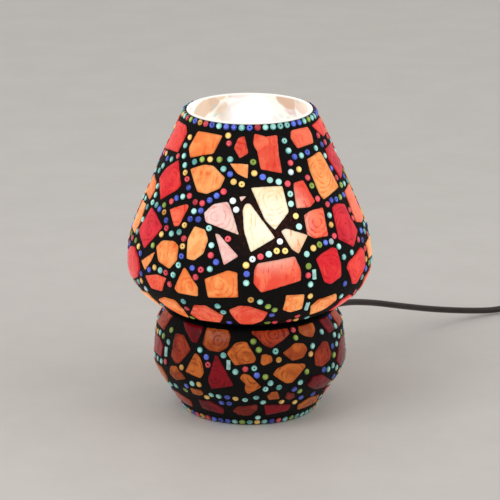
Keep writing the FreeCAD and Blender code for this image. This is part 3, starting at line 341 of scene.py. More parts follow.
def shard_material(name, colour, deep, glow, hot_reach):
    """Pressed glass lit from behind: glow is how bright it is, hot_reach how far it burns out."""
    look = Look(name, Specular_IOR_Level=0.18, Coat_Weight=0.02, Coat_Roughness=0.1)
    local = look.attribute("local", "Vector")
    edge = look.attribute("edge")
    seed = look.node("SeparateXYZ", {0: local}).outputs["Z"]
    kind = look.math("FRACT", look.times(seed, 7.31))       # which strokes a shard has
    broken = look.spread(look.noise(210.0, 2, 0.5, 0.0, local), 0.38, 0.62)
    ring_inputs = {"Vector": local, "Scale": 105.0, "Distortion": 5.0, "Detail": 3.0,
                   "Detail Scale": 1.3, "Detail Roughness": 0.65}
    rings = look.node("TexWave", ring_inputs, wave_type="RINGS", rings_direction="Z").outputs["Fac"]
    rose = look.spread(rings, 0.04, 0.34, 1.0, 0.0)
    rose = look.times(rose, look.math("GREATER_THAN", kind, 0.4))
    stretch = {0: local, 1: (1.0, 0.16, 1.0)}
    drawn = look.node("VectorMath", stretch, operation="MULTIPLY").outputs[0]
    streaks = look.spread(look.noise(640.0, 3, 0.6, 0.8, drawn), 0.36, 0.5, 1.0, 0.0)
    combed = look.times(streaks, look.math("LESS_THAN", kind, 0.55))
    strokes = look.times(look.math("MAXIMUM", rose, combed), broken)
    pits = look.spread(look.noise(1700.0, 2, 0.6), 0.6, 0.72)
    cloud = look.noise(95.0, 3, 0.6, 0.6, local)
    cloud = look.math("ADD", cloud, look.times(look.attribute("hue"), 0.5))
    body = look.mix(look.spread(cloud, 0.3, 0.72), deep, colour)
    # painted highlight: the glass burns out to white round the hot spot
    painted_shard_glare = look.spread(look.distance(HOT_SPOT), hot_reach * 0.2, hot_reach, 1.0, 0.0)
    lit = look.mix(painted_shard_glare, body, WHITE_HOT)
    lit = look.mix(look.times(strokes, 0.68), lit, look.mix(1.0, lit, deep, "MULTIPLY"))
    dim = look.math("SUBTRACT", 1.0, look.times(pits, 0.1))
    # painted shade: each shard's glow is dimmer towards its edge
    dim = look.times(dim, look.spread(edge, 0.0, 1.0, 0.74, 1.0))
    dim = look.times(dim, look.attribute("tone"))
    dim = look.times(dim, look.spread(look.height(), *glow))
    look.set(look.shader, {"Base Color": look.scaled(body, 0.1),
                           "Emission Color": look.scaled(lit, dim),
                           "Emission Strength": 1.0,
                           "Roughness": look.spread(look.noise(1100.0), 0.3, 0.7, 0.12, 0.3)})
    grain = look.times(look.noise(900.0), 0.5)
    look.bump(look.math("SUBTRACT", grain, strokes), 0.00015, 0.7)
    return look.material


def bead_material(name, colour, light, glow):
    """A small glossy glass bead with a painted paler middle, that glows more near the hot spot."""
    look = Look(name, IOR=1.5, Coat_Weight=0.4, Coat_Roughness=0.03)
    tone = look.attribute("tone")
    cloud = look.spread(look.noise(430.0, 2, 0.5), 0.35, 0.7, 0.0, 0.45)
    # painted highlight: the middle, where the tone is highest, is paler
    clear = look.spread(tone, 0.6, 1.05, 0.0, 0.55)
    near = look.spread(look.distance(HOT_SPOT), 0.012, 0.055, 1.0, 0.0)
    pale = look.math("MAXIMUM", look.math("ADD", cloud, clear), look.times(near, 0.95))
    body = look.mix(pale, colour, light)
    strength = look.times(look.spread(look.height(), *glow), tone)
    strength = look.math("ADD", strength, look.times(near, 0.3))
    look.set(look.shader, {"Base Color": look.scaled(body, 0.6),
                           "Emission Color": look.scaled(body, strength),
                           "Emission Strength": 1.0,
                           "Roughness": look.spread(look.noise(1500.0), 0.3, 0.7, 0.04, 0.13)})
    look.bump(look.noise(2600.0), 0.00004, 0.3)
    return look.material


def cement_material():
    """Black cement with a sandy grain, a little grey dust and painted warm glints of the bulb's
    light near the hot spot.
    """
    look = Look("black_cement", Specular_IOR_Level=0.14)
    grain = look.noise(2200.0, 4, 0.7)
    dust = look.spread(look.noise(240.0, 4, 0.65), 0.55, 0.8)
    body = look.mix(dust, (0.0025, 0.002, 0.002, 1), (0.012, 0.009, 0.008, 1))
    # painted reflection: warm glints of the bulb's light glow on the cement near the hot spot
    near = look.spread(look.distance(HOT_SPOT), 0.004, 0.03, 1.0, 0.0)
    glint = look.spread(look.noise(420.0, 3, 0.6), 0.5, 0.72)
    painted_glints = look.mix(glint, screen(40, 12, 6), screen(96, 42, 18))
    look.set(look.shader, {"Base Color": body,
                           "Roughness": look.spread(grain, 0.3, 0.7, 0.5, 0.8),
                           "Emission Color": look.scaled(painted_glints, near),
                           "Emission Strength": 0.7})
    look.bump(look.math("ADD", grain, look.noise(500.0, 3)), 0.0004, 0.7)
    return look.material


# A glow is a low and a high height in metres, and the brightness at each.
SHADE_GLOW = (0.070, 0.120, 0.86, 1.0)
BASE_GLOW = (0.004, 0.060, 0.6, 1.0)
SHADE_BEAD_GLOW = (0.070, 0.125, 0.6, 0.8)
BASE_BEAD_GLOW = (0.004, 0.060, 0.22, 0.4)
TUBE_BEAD_GLOW = (0.03, 0.1, 0.35, 0.8)
# Colour of the lit glass, its deeper tone, and how far from the hot spot it burns out.
SHADE_GLASS = {
    "red": (screen(244, 72, 62), screen(220, 36, 48), 0.03),
    "crimson": (screen(230, 48, 60), screen(190, 18, 44), 0.03),
    "coral": (screen(250, 122, 88), screen(234, 78, 58), 0.034),
    "orange": (screen(254, 172, 102), screen(243, 128, 64), 0.03),
    "amber": (screen(254, 190, 122), screen(247, 146, 78), 0.036),
    "pink": (screen(254, 216, 206), screen(247, 178, 172), 0.03),
    "cream": (screen(254, 240, 200), screen(250, 210, 150), 0.027),
}
# The base's colours are darker copies of the shade's: painted shade for the dimmer light in the
# base.
BASE_GLASS = {
    "crimson": (screen(128, 2, 20), screen(84, 0, 10), 0.001),
    "coral": (screen(160, 56, 28), screen(112, 26, 14), 0.001),
    "orange": (screen(188, 98, 38), screen(140, 56, 20), 0.001),
}
# Colour of the bead and its paler colour, for its clouds, its painted bright middle and the glow
# near the hot spot.
BEAD_GLASS = {
    "turquoise": (screen(70, 160, 158), screen(190, 240, 226)),
    "blue": (screen(28, 42, 150), screen(96, 122, 232)),
    "red": (screen(170, 14, 44), screen(240, 84, 96)),
    "amber": (screen(206, 136, 34), screen(250, 222, 136)),
    "green": (screen(92, 118, 22), screen(168, 196, 84)),
    "white": (screen(150, 176, 190), screen(236, 248, 246)),
}
TUBE_BEAD_GLASS = (screen(70, 110, 112), screen(168, 214, 206))

# --- shards ----------------------------------------------------------------------------------
CHIP_STEP = 0.9 * MM        # between the points of a nibbled edge
CHIP_DEPTH = 0.2 * MM
FINE_CHIP, WIDE_CHIP = 1.7 * MM, 5 * MM     # how long the bites are
CORNER_BLUNT = 0.12 * MM
SAME_POINT = 1e-7
STRAIGHT = 0.06 * MM        # a corner that stands out less than this is no corner
BEVEL = ((0.0, 0.95), (0.0, 0.3), (0.1, 0.1), (0.33, 0.0))  # inset and depth of each ring, in mm
FLATTEN = 0.2               # how much of the glass's curve a shard leaves out
GRID_STEP = 1.15 * MM       # between the points of a shard's top
GRID_ROW = 0.866 * GRID_STEP
RIM_LIGHT = 0.35            # the edge attribute at the rim of the top
EDGE_WIDTH = 1.6 * MM       # how far in from the rim the edge attribute rises to 1
TONES = (0.92, 1.05)
MOST_HUE = 0.3
OFF_MIDDLE = 3              # how far the pressed pattern's middle may lie from the shard's, in mm


def straight_corners(points):
    """Drop the points that lie on straight stretches of a closed outline."""
    kept = []
    for i, point in enumerate(points):
        before = kept[-1] if kept else points[i - 1]
        after = points[(i + 1) % len(points)]
        span = after - before
        if span.length < SAME_POINT:
            continue
        off = abs(span.x * (point - before).y - span.y * (point - before).x) / span.length
        if off > STRAIGHT:
            kept.append(point)
    return kept


def chipped(corners, seed):
    """The outline with slightly nibbled edges and blunted corners, counter-clockwise."""
    area = sum(a.x * b.y - a.y * b.x for a, b in zip(corners, corners[1:] + corners[:1]))
    if area < 0:
        corners = corners[::-1]
    for depth in (1.0, 0.5, 0.2, 0.0):
        outline = []
        for a, b in zip(corners, corners[1:] + corners[:1]):
            span = b - a
            inward = Vector((-span.y, span.x)).normalized()
            steps = max(2, round(span.length / CHIP_STEP))
            for k in range(steps):
                spot = a + span * ((k + 0.5) / steps)
                bite = noise.noise(Vector((spot.x, spot.y, seed * MM)) / FINE_CHIP)
                bite += 0.7 * noise.noise(Vector((spot.x, spot.y, -seed * MM)) / WIDE_CHIP)
                blunt = CORNER_BLUNT * (k in (0, steps - 1))
                outline.append(spot + inward * ((max(0.0, bite) * CHIP_DEPTH + blunt) * depth))
        if is_simple(outline):
            break
    return outline


def shrunk(outline, distance):
    """A closed counter-clockwise outline moved inwards."""
    moved = []
    for i, point in enumerate(outline):
        along = outline[(i + 1) % len(outline)] - outline[i - 1]
        moved.append(point + Vector((-along.y, along.x)).normalized() * distance)
    return moved


def is_simple(loop):
    """True if a closed outline doesn't cross itself."""
    start = np.array(loop)
    end = np.roll(start, -1, axis=0)
    span = end - start

    def side(point):
        away = point[None, :] - start[:, None]
        return span[:, None, 0] * away[..., 1] - span[:, None, 1] * away[..., 0]

    split = side(start) * side(end) < 0
    return not (split & split.T).any()


def inner_rings(outline):
    """The outline moved in by each step of the bevel, or by less where a shard is too slim."""
    for share in (1.0, 0.6, 0.35, 0.15):
        rings = [shrunk(outline, inset * share * MM) for inset, _ in BEVEL]
        if all(is_simple(ring) for ring in rings[2:]):
            return rings
    return [outline] * len(BEVEL)


def inside_outline(outline, x, y):
    """True inside a closed outline, and the distance to it."""
    inside = False
    nearest = math.inf
    for a, b in zip(outline, outline[1:] + outline[:1]):
        dx, dy = b[0] - a[0], b[1] - a[1]
        share = ((x - a[0]) * dx + (y - a[1]) * dy) / (dx * dx + dy * dy)
        share = max(0.0, min(1.0, share))
        nearest = min(nearest, math.hypot(a[0] + share * dx - x, a[1] + share * dy - y))
        if (a[1] > y) != (b[1] > y) and x < a[0] + (y - a[1]) * dx / dy:
            inside = not inside
    return inside, nearest


class Shards:
    """All shards of one colour, gathered into one mesh."""

    def __init__(self):
        self.vertices, self.faces = [], []
        self.local, self.tone, self.edge, self.hue = [], [], [], []

    def add(self, ring, chooser):
        centre = sum(ring, Vector()) / len(ring)
        normal, across, up = surface_frame(centre)
        centre -= normal * (above_glass(centre) - SHARD_HEIGHT)
        flat = [Vector(((p - centre).dot(across), (p - centre).dot(up))) for p in ring]
        corners = straight_corners(flat)
        if len(corners) < 3:
            return
        seed = chooser.random()
        tone = chooser.uniform(*TONES)
        hue = chooser.uniform(-MOST_HUE, MOST_HUE)
        middle = Vector([chooser.uniform(-OFF_MIDDLE, OFF_MIDDLE) * MM for _ in range(2)])
        outline = chipped(corners, seed * 50)
        first = len(self.vertices)
        size = len(outline)

        def put(spot, depth, edge):
            wanted = centre + across * spot.x + up * spot.y
            rise = SHARD_HEIGHT - above_glass(wanted)
            relief = 0.15 * noise.noise(Vector((spot.x, spot.y, seed)) / (3.6 * MM))
            relief += 0.07 * noise.noise(Vector((spot.x, spot.y, seed + 9)) / (1.6 * MM))
            lift = rise * (1 - FLATTEN) + relief * MM * edge - depth
            self.vertices.append(wanted + normal * lift)
            self.local.append((spot.x - middle.x, spot.y - middle.y, seed))
            self.tone.append(tone)
            self.hue.append(hue)
            self.edge.append(edge)

        SHARD_EDGES.extend(centre + across * spot.x + up * spot.y for spot in outline)
        rings = inner_rings(outline)
        for (_, depth), loop in zip(BEVEL[:3], rings[:3]):
            for spot in loop:
                put(spot, depth * MM, 0.0)
        for k in range(2):
            for i in range(size):
                j = (i + 1) % size
                low, high = first + k * size, first + (k + 1) * size
                self.faces.append((low + i, low + j, high + j, high + i))
        self.faces.append(tuple(first + i for i in range(size))[::-1])
        self.fill(rings[3], first + 2 * size, size, put)

    def fill(self, loop, below, size, put):
        """Cover the top inside the last ring with a fine grid."""
        xs = [p.x for p in loop]
        ys = [p.y for p in loop]
        spots = list(loop)
        row = 0
        y = min(ys)
        while y < max(ys):
            x = min(xs) + (row % 2) * GRID_STEP / 2
            while x < max(xs):
                inside, away = inside_outline(loop, x, y)
                if inside and away > 0.55 * GRID_STEP:
                    spots.append(Vector((x, y)))
                x += GRID_STEP
            y += GRID_ROW
            row += 1
        ring = list(range(len(loop)))
        made, _, faces, origins, _, _ = delaunay_2d_cdt(spots, [], [ring], 1, SAME_POINT)
        start = len(self.vertices)
        for spot, origin in zip(made, origins):
            on_ring = any(o < len(loop) for o in origin)
            away = 0.0 if on_ring else inside_outline(loop, spot.x, spot.y)[1]
            put(spot, 0.0, min(1.0, RIM_LIGHT + away / EDGE_WIDTH))
        where = {o: start + k for k, origin in enumerate(origins) for o in origin}
        for i in range(size):
            j = (i + 1) % size
            if i in where and j in where:
                self.faces.append((below + i, below + j, where[j], where[i]))
        for face in faces:
            self.faces.append(tuple(start + v for v in face))

    def build(self, name, material, node):
        made = new_object(name, self.vertices, self.faces, material, node)
        set_attribute(made, "local", self.local, "FLOAT_VECTOR")
        set_attribute(made, "tone", self.tone)
        set_attribute(made, "edge", self.edge)
        set_attribute(made, "hue", self.hue)


def outer_rims(node):
    """The outline of the outer face of each shard of a node, as rings of points."""
    places, solids = lumps(node)
    for triangles in solids:
        corners = places[triangles]
        facing = np.cross(corners[:, 1] - corners[:, 0], corners[:, 2] - corners[:, 0])
        facing /= np.linalg.norm(facing, axis=1)[:, None] + 1e-12
        centre = corners.mean(axis=(0, 1))
        normal = np.array(surface_frame(centre)[0])
        heights = {i: above_glass(places[i]) for i in np.unique(triangles).tolist()}
        lowest = np.array([min(heights[i] for i in face) for face in triangles.tolist()])
        outer = triangles[(lowest > 0.9 * SHARD_HEIGHT) & (facing @ normal > 0.5)]
        yield [Vector(places[i]) for i in rim_loop(outer)]


SHARD_EDGES = []


def make_shards(part, glass, glow):
    for colour, (lit, deep, hot_reach) in glass.items():
        node = "%s_tiles_%s" % (part, colour)
        chooser = random.Random(node)
        shards = Shards()
        for ring in outer_rims(node):
            shards.add(ring, chooser)
        material = shard_material("%s_glass_%s" % (part, colour), lit, deep, glow, hot_reach)
        shards.build("%s_shards_%s" % (part, colour), material, node)


make_shards("shade", SHADE_GLASS, SHADE_GLOW)
make_shards("base", BASE_GLASS, BASE_GLOW)

# --- beads -----------------------------------------------------------------------------------
# Sections of a bead as (radius, height) in mm. Cement closes most holes, and some stay open.
CLOSED_BEAD = [(0.05, -0.6), (0.9, -0.86), (1.5, -0.84), (1.92, -0.52), (2.08, -0.05), (2.02, 0.36),
               (1.78, 0.68), (1.42, 0.86), (1.0, 0.92), (0.55, 0.82), (0.25, 0.74), (0.05, 0.72)]
OPEN_BEAD = [(0.42, -0.45), (0.9, -0.86), (1.5, -0.84), (1.92, -0.52), (2.08, -0.05), (2.02, 0.36),
             (1.78, 0.68), (1.42, 0.86), (1.05, 0.88), (0.66, 0.68), (0.45, 0.36), (0.38, 0)]
BEAD_AROUND = 20
BEAD_TILT = 9               # degrees at most
OPEN_SHARE = 0.2
DULL_SHARE = 0.15
DULL_TONES, CLEAR_TONES = (0.5, 0.8), (0.82, 1.1)
BEAD_PLACES = []


def lathed(section, around, frame_of, scale=1.0):
    """Turn a closed (radius, height) section in mm round a normal; returns vertices and faces."""
    centre, normal, across, up = frame_of
    vertices = []
    size = scale * MM
    for i in range(around):
        turn = 2 * math.pi * i / around
        out = across * math.cos(turn) + up * math.sin(turn)
        vertices += [centre + out * (r * size) + normal * (h * size) for r, h in section]
    count = len(section)
    faces = []
    for i in range(around):
        j = (i + 1) % around
        for k in range(count):
            n = (k + 1) % count
            faces.append((i * count + k, j * count + k, j * count + n, i * count + n))
    return vertices, faces


def tilted(normal, across, up, chooser, most):
    """The same directions leaning a few degrees to one side, as beads lie in their bed."""
    lean = Matrix.Rotation(math.radians(chooser.uniform(0, most)), 3,
                           across * chooser.uniform(-1, 1) + up * chooser.uniform(-1, 1))
    return lean @ normal, lean @ across, lean @ up


def painted_bead_shading(radius, is_open):
    """How brightly a bead glows at a distance from its middle, in mm: painted shade darkens the rim
    and an open bead's hole.
    """
    if is_open and radius < 0.6:
        return 0.22
    return 1.0 - 0.55 * max(0.0, (radius - 0.9) / 1.2) ** 1.4


def make_beads(part, glow):
    for colour, (body, light) in BEAD_GLASS.items():
        node = "%s_beads_%s" % (part, colour)
        if node not in NODES:
            continue
        places, solids = lumps(node)
        chooser = random.Random(node)
        vertices, faces, tones = [], [], []
        for triangles in solids:
            centre = Vector(places[np.unique(triangles)].mean(axis=0))
            normal, across, up = surface_frame(centre)
            centre += normal * (BEAD_SEAT - above_glass(centre))
            BEAD_PLACES.append(centre)
            leaning = tilted(normal, across, up, chooser, BEAD_TILT)
            is_open = chooser.random() < OPEN_SHARE
            section = OPEN_BEAD if is_open else CLOSED_BEAD
            scale = chooser.uniform(0.93, 1)
            made, ring_faces = lathed(section, BEAD_AROUND, (centre, *leaning), scale)
            first = len(vertices)
            vertices += made
            faces += [tuple(first + v for v in face) for face in ring_faces]
            dull = chooser.random() < DULL_SHARE
            tone = chooser.uniform(*(DULL_TONES if dull else CLEAR_TONES))
            # the tone carries the painted shade of each bead's rim and open hole
            tones += [tone * painted_bead_shading(r, is_open) for r, _ in section] * BEAD_AROUND
        material = bead_material("%s_bead_%s" % (part, colour), body, light, glow)
        made = new_object("%s_glass_beads_%s" % (part, colour), vertices, faces, material, node)
        set_attribute(made, "tone", tones)


make_beads("shade", SHADE_BEAD_GLOW)
make_beads("base", BASE_BEAD_GLOW)

# --- tube beads ------------------------------------------------------------------------------
TUBE_SECTION = [(0.5, -2.9), (0.62, -3), (1.05, -3), (1.2, -2.85), (1.25, -2.6), (1.22, 0),
                (1.25, 2.6), (1.2, 2.85), (1.05, 3), (0.62, 3), (0.5, 2.9)]


def make_tube_beads():
    places, solids = lumps("tube_beads")
    vertices, faces, tones = [], [], []
    for triangles in solids:
        centre = Vector(places[np.unique(triangles)].mean(axis=0))
        normal, across, up = surface_frame(centre)
        BEAD_PLACES.extend(centre + up * (step * MM) for step in (-2, 0, 2))    # along the tube
        made, tube_faces = lathed(TUBE_SECTION[::-1], BEAD_AROUND, (centre, up, across, normal))
        first = len(vertices)
        vertices += made
        faces += [tuple(first + v for v in face) for face in tube_faces]
        tones += [1.0] * len(made)
    material = bead_material("tube_bead_aqua", *TUBE_BEAD_GLASS, TUBE_BEAD_GLOW)
    made = new_object("glass_tube_beads", vertices, faces, material, "tube_beads")
    set_attribute(made, "tone", tones)


make_tube_beads()

# --- cement ----------------------------------------------------------------------------------
SHADE_CEMENT = (67.12 * MM, 190.2 * MM)     # lowest and highest
BASE_CEMENT = (0.7 * MM, 66.98 * MM)
CEMENT_ROW = 0.8 * MM
CEMENT_SEGMENTS = 440
CEMENT_DEPTH = 1.33         # in mm, before its lumps and its rises against shards and beads
HOLE_WAY = Vector((0.559, 0.829, 0))        # the cord's grommet goes through the base this way
HOLE_CENTRE = HOLE_WAY * 0.0576 + mm(0, 0, 40)
HOLE_R = 4.6 * MM
HOLE_REACH = 10 * MM        # how far inwards from its centre the hole counts
SEAM = 0.03 * MM            # how far the cement's edges stand off the glass


def profile_rows(low, high):
    """Points and normals along the glass profile, evenly spaced between two heights."""
    inside = (PROFILE[:, 1] >= low) & (PROFILE[:, 1] <= high)
    points, normals = PROFILE[inside], PROFILE_NORMALS[inside]
    along = np.concatenate([[0], np.cumsum(np.linalg.norm(np.diff(points, axis=0), axis=1))])
    marks = np.linspace(0, along[-1], round(along[-1] / CEMENT_ROW) + 1)
    rows = np.stack([np.interp(marks, along, points[:, k]) for k in (0, 1)], axis=1)
    facing = np.stack([np.interp(marks, along, normals[:, k]) for k in (0, 1)], axis=1)
    return rows, facing


def cement_height(point, shard_tree, bead_tree):
    """Thickness of the cement above a point of the glass."""
    height = CEMENT_DEPTH + 0.11 * noise.noise(point / (3.1 * MM))
    height += 0.06 * noise.noise(point / (1.1 * MM))
    shard = shard_tree.find(point)[2] / MM
    height += 0.2 * math.exp(-(max(0.0, shard - 1.9) / 0.9) ** 2)
    bead = bead_tree.find(point)[2] / MM
    height += 0.3 * math.exp(-((bead - 2.5) / 0.55) ** 2)
    return height * MM


def tree_of(places):
    tree = KDTree(len(places))
    for i, place in enumerate(places):
        tree.insert(place, i)
    tree.balance()
    return tree


def in_cord_hole(spot):
    along = (spot - HOLE_CENTRE).dot(HOLE_WAY)
    across = (spot - HOLE_CENTRE - HOLE_WAY * along).length
    return across < HOLE_R and along > -HOLE_REACH


def make_cement(part, low, high, material):
    """The cement as a skin over the glass that rises a little against the shards and beads."""
    rows, facing = profile_rows(low, high)
    shard_tree = tree_of(SHARD_EDGES)
    bead_tree = tree_of(BEAD_PLACES)
    turns = [2 * math.pi * i / CEMENT_SEGMENTS for i in range(CEMENT_SEGMENTS)]
    ways = [Vector((math.cos(turn), math.sin(turn), 0)) for turn in turns]
    vertices = []
    for (radius, z), (out, up) in zip(rows, facing):
        for away in ways:
            foot = away * radius + Vector((0, 0, z))
            height = cement_height(foot, shard_tree, bead_tree)
            spot = foot + (away * out + Vector((0, 0, up))) * height
            spot.z = min(max(spot.z, low), high)
            vertices.append(spot)
    for (radius, z), (out, up) in zip(rows, facing):
        for away in ways:
            vertices.append(away * (radius + out * SEAM) + Vector((0, 0, z + up * SEAM)))
    pierced = {i for i, spot in enumerate(vertices) if in_cord_hole(spot)}
    size = CEMENT_SEGMENTS
    inner = len(rows) * size    # number of the first vertex on the glass
    faces = []
    walls = {}
    for k in range(len(rows) - 1):
        for i in range(size):
            j = (i + 1) % size
            face = (k * size + i, k * size + j, (k + 1) * size + j, (k + 1) * size + i)
            if pierced.intersection(face):
                continue
            faces.append(face)
            faces.append(tuple(v + inner for v in face[::-1]))
            for start, end in zip(face, face[1:] + face[:1]):
                if (end, start) in walls:
                    del walls[(end, start)]
                else:
                    walls[(start, end)] = True
    for start, end in walls:
        faces.append((end, start, start + inner, end + inner))
    new_object(part + "_cement", vertices, faces, material, part + "_grout")


CEMENT = cement_material()
make_cement("shade", *SHADE_CEMENT, CEMENT)
make_cement("base", *BASE_CEMENT, CEMENT)


# --- looks of the other parts ----------------------------------------------------------------
def worn(name, colour, other, rough, metal=0.0, scale=160.0, bump=(0.0001, 0.4)):
    """An everyday surface: cloudy colour, uneven polish, fine grain and rubbed patches."""
    look = Look(name, Metallic=metal)
    cloud = look.spread(look.noise(scale, 4, 0.6), 0.35, 0.7)
    rubbed = look.spread(look.noise(scale * 0.35, 5, 0.7, 0.4), 0.56, 0.7)
    grain = look.noise(scale * 14, 3, 0.6)
    body = look.mix(look.times(cloud, 0.7), colour + (1,), other + (1,))
    body = look.mix(look.times(rubbed, 0.35), body, other + (1,))
    polish = look.spread(grain, 0.3, 0.7, *rough)
    polish = look.math("ADD", polish, look.times(rubbed, -0.08))
    look.set(look.shader, {"Base Color": body, "Roughness": polish})
    look.bump(look.math("ADD", grain, look.times(cloud, 0.6)), *bump)
    return look.material


def dress(material, *nodes):
    """Give CAD nodes that keep their meshes a material."""
    for node in nodes:
        NODES[node].data.materials.clear()
        NODES[node].data.materials.append(material)


def blown_glass():
    """Clear glass with the pale mosaic showing through on the inside of the lit shade as a painted
    glow, with a painted white glare and a painted bright rim.
    """
    look = Look("blown_glass", Roughness=0.1, IOR=1.5, Coat_Roughness=0.03)
    level = {0: look.place, 1: (1, 1, 0)}
    from_axis = look.node("VectorMath", level, operation="MULTIPLY").outputs[0]
    normal = look.node("TexCoord").outputs["Normal"]
    facing = look.node("VectorMath", {0: normal, 1: from_axis}, operation="DOT_PRODUCT")
    # painted light: the inside of the shade above the neck glows with the pale mosaic
    inward = look.math("LESS_THAN", facing.outputs["Value"], -0.004)
    height = look.height()
    lit = look.times(inward, look.spread(height, 0.06, 0.085))
    # painted highlight: the top edge of the glass glows near-white all round
    rim = look.spread(height, 0.1898, 0.1906)
    bent = look.times(look.noise(60.0), 0.012)
    wavy = look.node("VectorMath", {0: look.place, 1: bent}, operation="ADD").outputs[0]
    cells = look.node("TexVoronoi", {"Vector": wavy, "Scale": 62.0, "Randomness": 0.9})
    pick = look.node("SeparateColor", {0: cells.outputs["Color"]})
    pastel = look.mix(pick.outputs[0], screen(244, 220, 190), screen(218, 180, 154))
    pastel = look.mix(look.spread(pick.outputs[1], 0.55, 0.8), pastel, screen(226, 194, 192))
    gaps = look.spread(cells.outputs["Distance"], 0.44, 0.58)
    pastel = look.mix(gaps, pastel, screen(252, 248, 236))
    dots = look.node("TexVoronoi", {"Vector": look.place, "Scale": 190.0})
    picked = look.node("SeparateColor", {0: dots.outputs["Color"]}).outputs[0]
    spots = look.times(look.spread(dots.outputs["Distance"], 0.3, 0.42, 1.0, 0.0),
                       look.spread(picked, 0.6, 0.7))
    pastel = look.mix(look.times(spots, 0.5), pastel, screen(176, 206, 190))
    # painted highlight: the inside burns out to white round its brightest place
    painted_inner_glare = look.spread(look.distance(INNER_GLARE_SPOT), 0.007, 0.026, 1.0, 0.0)
    pastel = look.mix(painted_inner_glare, pastel, (1, 1, 1, 1))
    pastel = look.mix(rim, pastel, screen(255, 252, 244))
    strength = look.math("MAXIMUM", lit, rim)
    clear = look.mix(look.noise(130.0), (0.2, 0.24, 0.22, 1), (0.34, 0.38, 0.35, 1))
    clear = look.mix(strength, clear, (0.01, 0.01, 0.01, 1))
    look.set(look.shader, {"Base Color": clear,
                           "Emission Color": pastel,
                           "Emission Strength": strength,
                           "Coat Weight": look.spread(strength, 0.0, 1.0, 0.5, 0.0)})
    look.bump(look.noise(700.0), 0.00008, 0.25)
    return look.material


def lit_bulb():
    """The frosted glow of a warm bulb."""
    look = Look("lit_bulb", Roughness=0.3)
    cloud = look.spread(look.noise(90.0), 0.3, 0.7)
    look.set(look.shader, {"Base Color": (0.8, 0.76, 0.7, 1),
                           "Emission Color": look.mix(cloud, (1, 0.8, 0.55, 1), (1, 0.9, 0.72, 1)),
                           "Emission Strength": 4.0})
    look.bump(look.noise(400.0), 0.00005, 0.3)
    return look.material


dress(blown_glass(), "glass_body")
dress(lit_bulb(), "bulb_envelope", "filament")
dress(worn("clear_stem", (0.5, 0.52, 0.5), (0.62, 0.62, 0.58), (0.08, 0.2)), "bulb_stem")
dress(worn("nickel", (0.55, 0.53, 0.49), (0.72, 0.7, 0.66), (0.2, 0.38), metal=1.0),
      "bulb_cap", "filament_supports", "plug_pins", "switch_case_screws", "terminal_screws",
      "switch_terminal_screws")
dress(worn("solder", (0.4, 0.39, 0.37), (0.6, 0.58, 0.55), (0.3, 0.5), metal=1.0, scale=420.0,
           bump=(0.0002, 0.6)), "bulb_contact")
dress(worn("black_glass", (0.01, 0.01, 0.012), (0.03, 0.03, 0.035), (0.12, 0.3)), "bulb_insulator")
dress(worn("brass", (0.5, 0.36, 0.14), (0.62, 0.47, 0.22), (0.25, 0.45), metal=1.0),
      "screw_shell", "centre_contact", "switch_contacts")
dress(worn("bakelite", (0.02, 0.013, 0.01), (0.045, 0.03, 0.022), (0.25, 0.42)),
      "holder_sleeve", "holder_cap", "clamp_rings")
dress(worn("ceramic", (0.66, 0.63, 0.57), (0.78, 0.76, 0.7), (0.25, 0.5)), "terminal_block")
dress(worn("zinc_plate", (0.46, 0.47, 0.48), (0.62, 0.62, 0.6), (0.28, 0.5), metal=1.0),
      "holder_bracket")
dress(worn("silicone", (0.55, 0.53, 0.5), (0.68, 0.66, 0.62), (0.5, 0.7)), "bracket_pads")
dress(worn("wire_sheath", (0.06, 0.05, 0.16), (0.12, 0.1, 0.25), (0.35, 0.5)), "holder_wires")
PVC = worn("cord_pvc", (0.016, 0.008, 0.006), (0.034, 0.019, 0.014), (0.28, 0.45), scale=90.0,
           bump=(0.0002, 0.35))
dress(PVC, "inner_cord")
CORD.data.materials.clear()
CORD.data.materials.append(PVC)
dress(worn("moulded_pvc", (0.014, 0.009, 0.007), (0.032, 0.022, 0.017), (0.42, 0.6), scale=120.0,
           bump=(0.0002, 0.5)), "cord_grommet", "strain_relief", "plug_body")
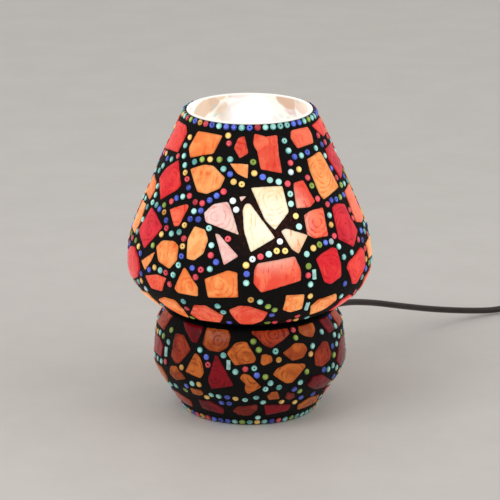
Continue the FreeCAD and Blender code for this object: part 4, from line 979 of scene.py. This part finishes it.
dress(worn("switch_plastic", (0.013, 0.009, 0.008), (0.03, 0.022, 0.018), (0.36, 0.55),
           scale=140.0, bump=(0.0002, 0.5)), "switch_upper_case", "switch_lower_case")
dress(worn("rocker_plastic", (0.02, 0.015, 0.013), (0.05, 0.04, 0.035), (0.22, 0.4)),
      "switch_rocker")
dress(worn("steel_pin", (0.5, 0.5, 0.5), (0.6, 0.6, 0.6), (0.2, 0.35), metal=1.0), "rocker_pin")
dress(worn("pin_sleeve", (0.02, 0.02, 0.02), (0.04, 0.04, 0.04), (0.4, 0.55)),
      "plug_pin_sleeves")
dress(worn("nylon_tie", (0.03, 0.03, 0.03), (0.07, 0.065, 0.06), (0.4, 0.6)), "coil_tie")


# --- light and floor -------------------------------------------------------------------------
def make_light(name, place, size, power):
    """A round soft light that faces the middle of the lamp."""
    data = bpy.data.lights.new(name, "AREA")
    data.shape = "DISK"
    data.size = size
    data.energy = power
    light = bpy.data.objects.new(name, data)
    light.location = place
    light.rotation_euler = (mm(0, 0, 80) - Vector(place)).to_track_quat("-Z", "Y").to_euler()
    bpy.context.scene.collection.objects.link(light)


def make_floor():
    """A pale table top of plain matt board."""
    mesh = bpy.data.meshes.new("floor")
    mesh.from_pydata([(-4, -4, 0), (4, -4, 0), (4, 6, 0), (-4, 6, 0)], [], [(0, 1, 2, 3)])
    mesh.materials.append(worn("pale_board", (0.74, 0.72, 0.69), (0.78, 0.76, 0.73), (0.5, 0.65),
                               scale=20.0, bump=(0.0001, 0.2)))
    floor = bpy.data.objects.new("floor", mesh)
    floor.location.z = -0.2 * MM        # just under the foot, so that the two don't share a plane
    bpy.context.scene.collection.objects.link(floor)


make_floor()
make_light("key", (-0.9, -0.9, 1.5), 1.1, 8)
make_light("fill", (1.3, -0.6, 1.1), 1.4, 4)
world = bpy.data.worlds.new("studio")
world.use_nodes = True
world.node_tree.nodes["Background"].inputs["Color"].default_value = (1.0, 0.97, 0.94, 1)
world.node_tree.nodes["Background"].inputs["Strength"].default_value = 0.55
bpy.context.scene.world = world
bpy.context.scene.view_settings.view_transform = "Standard"
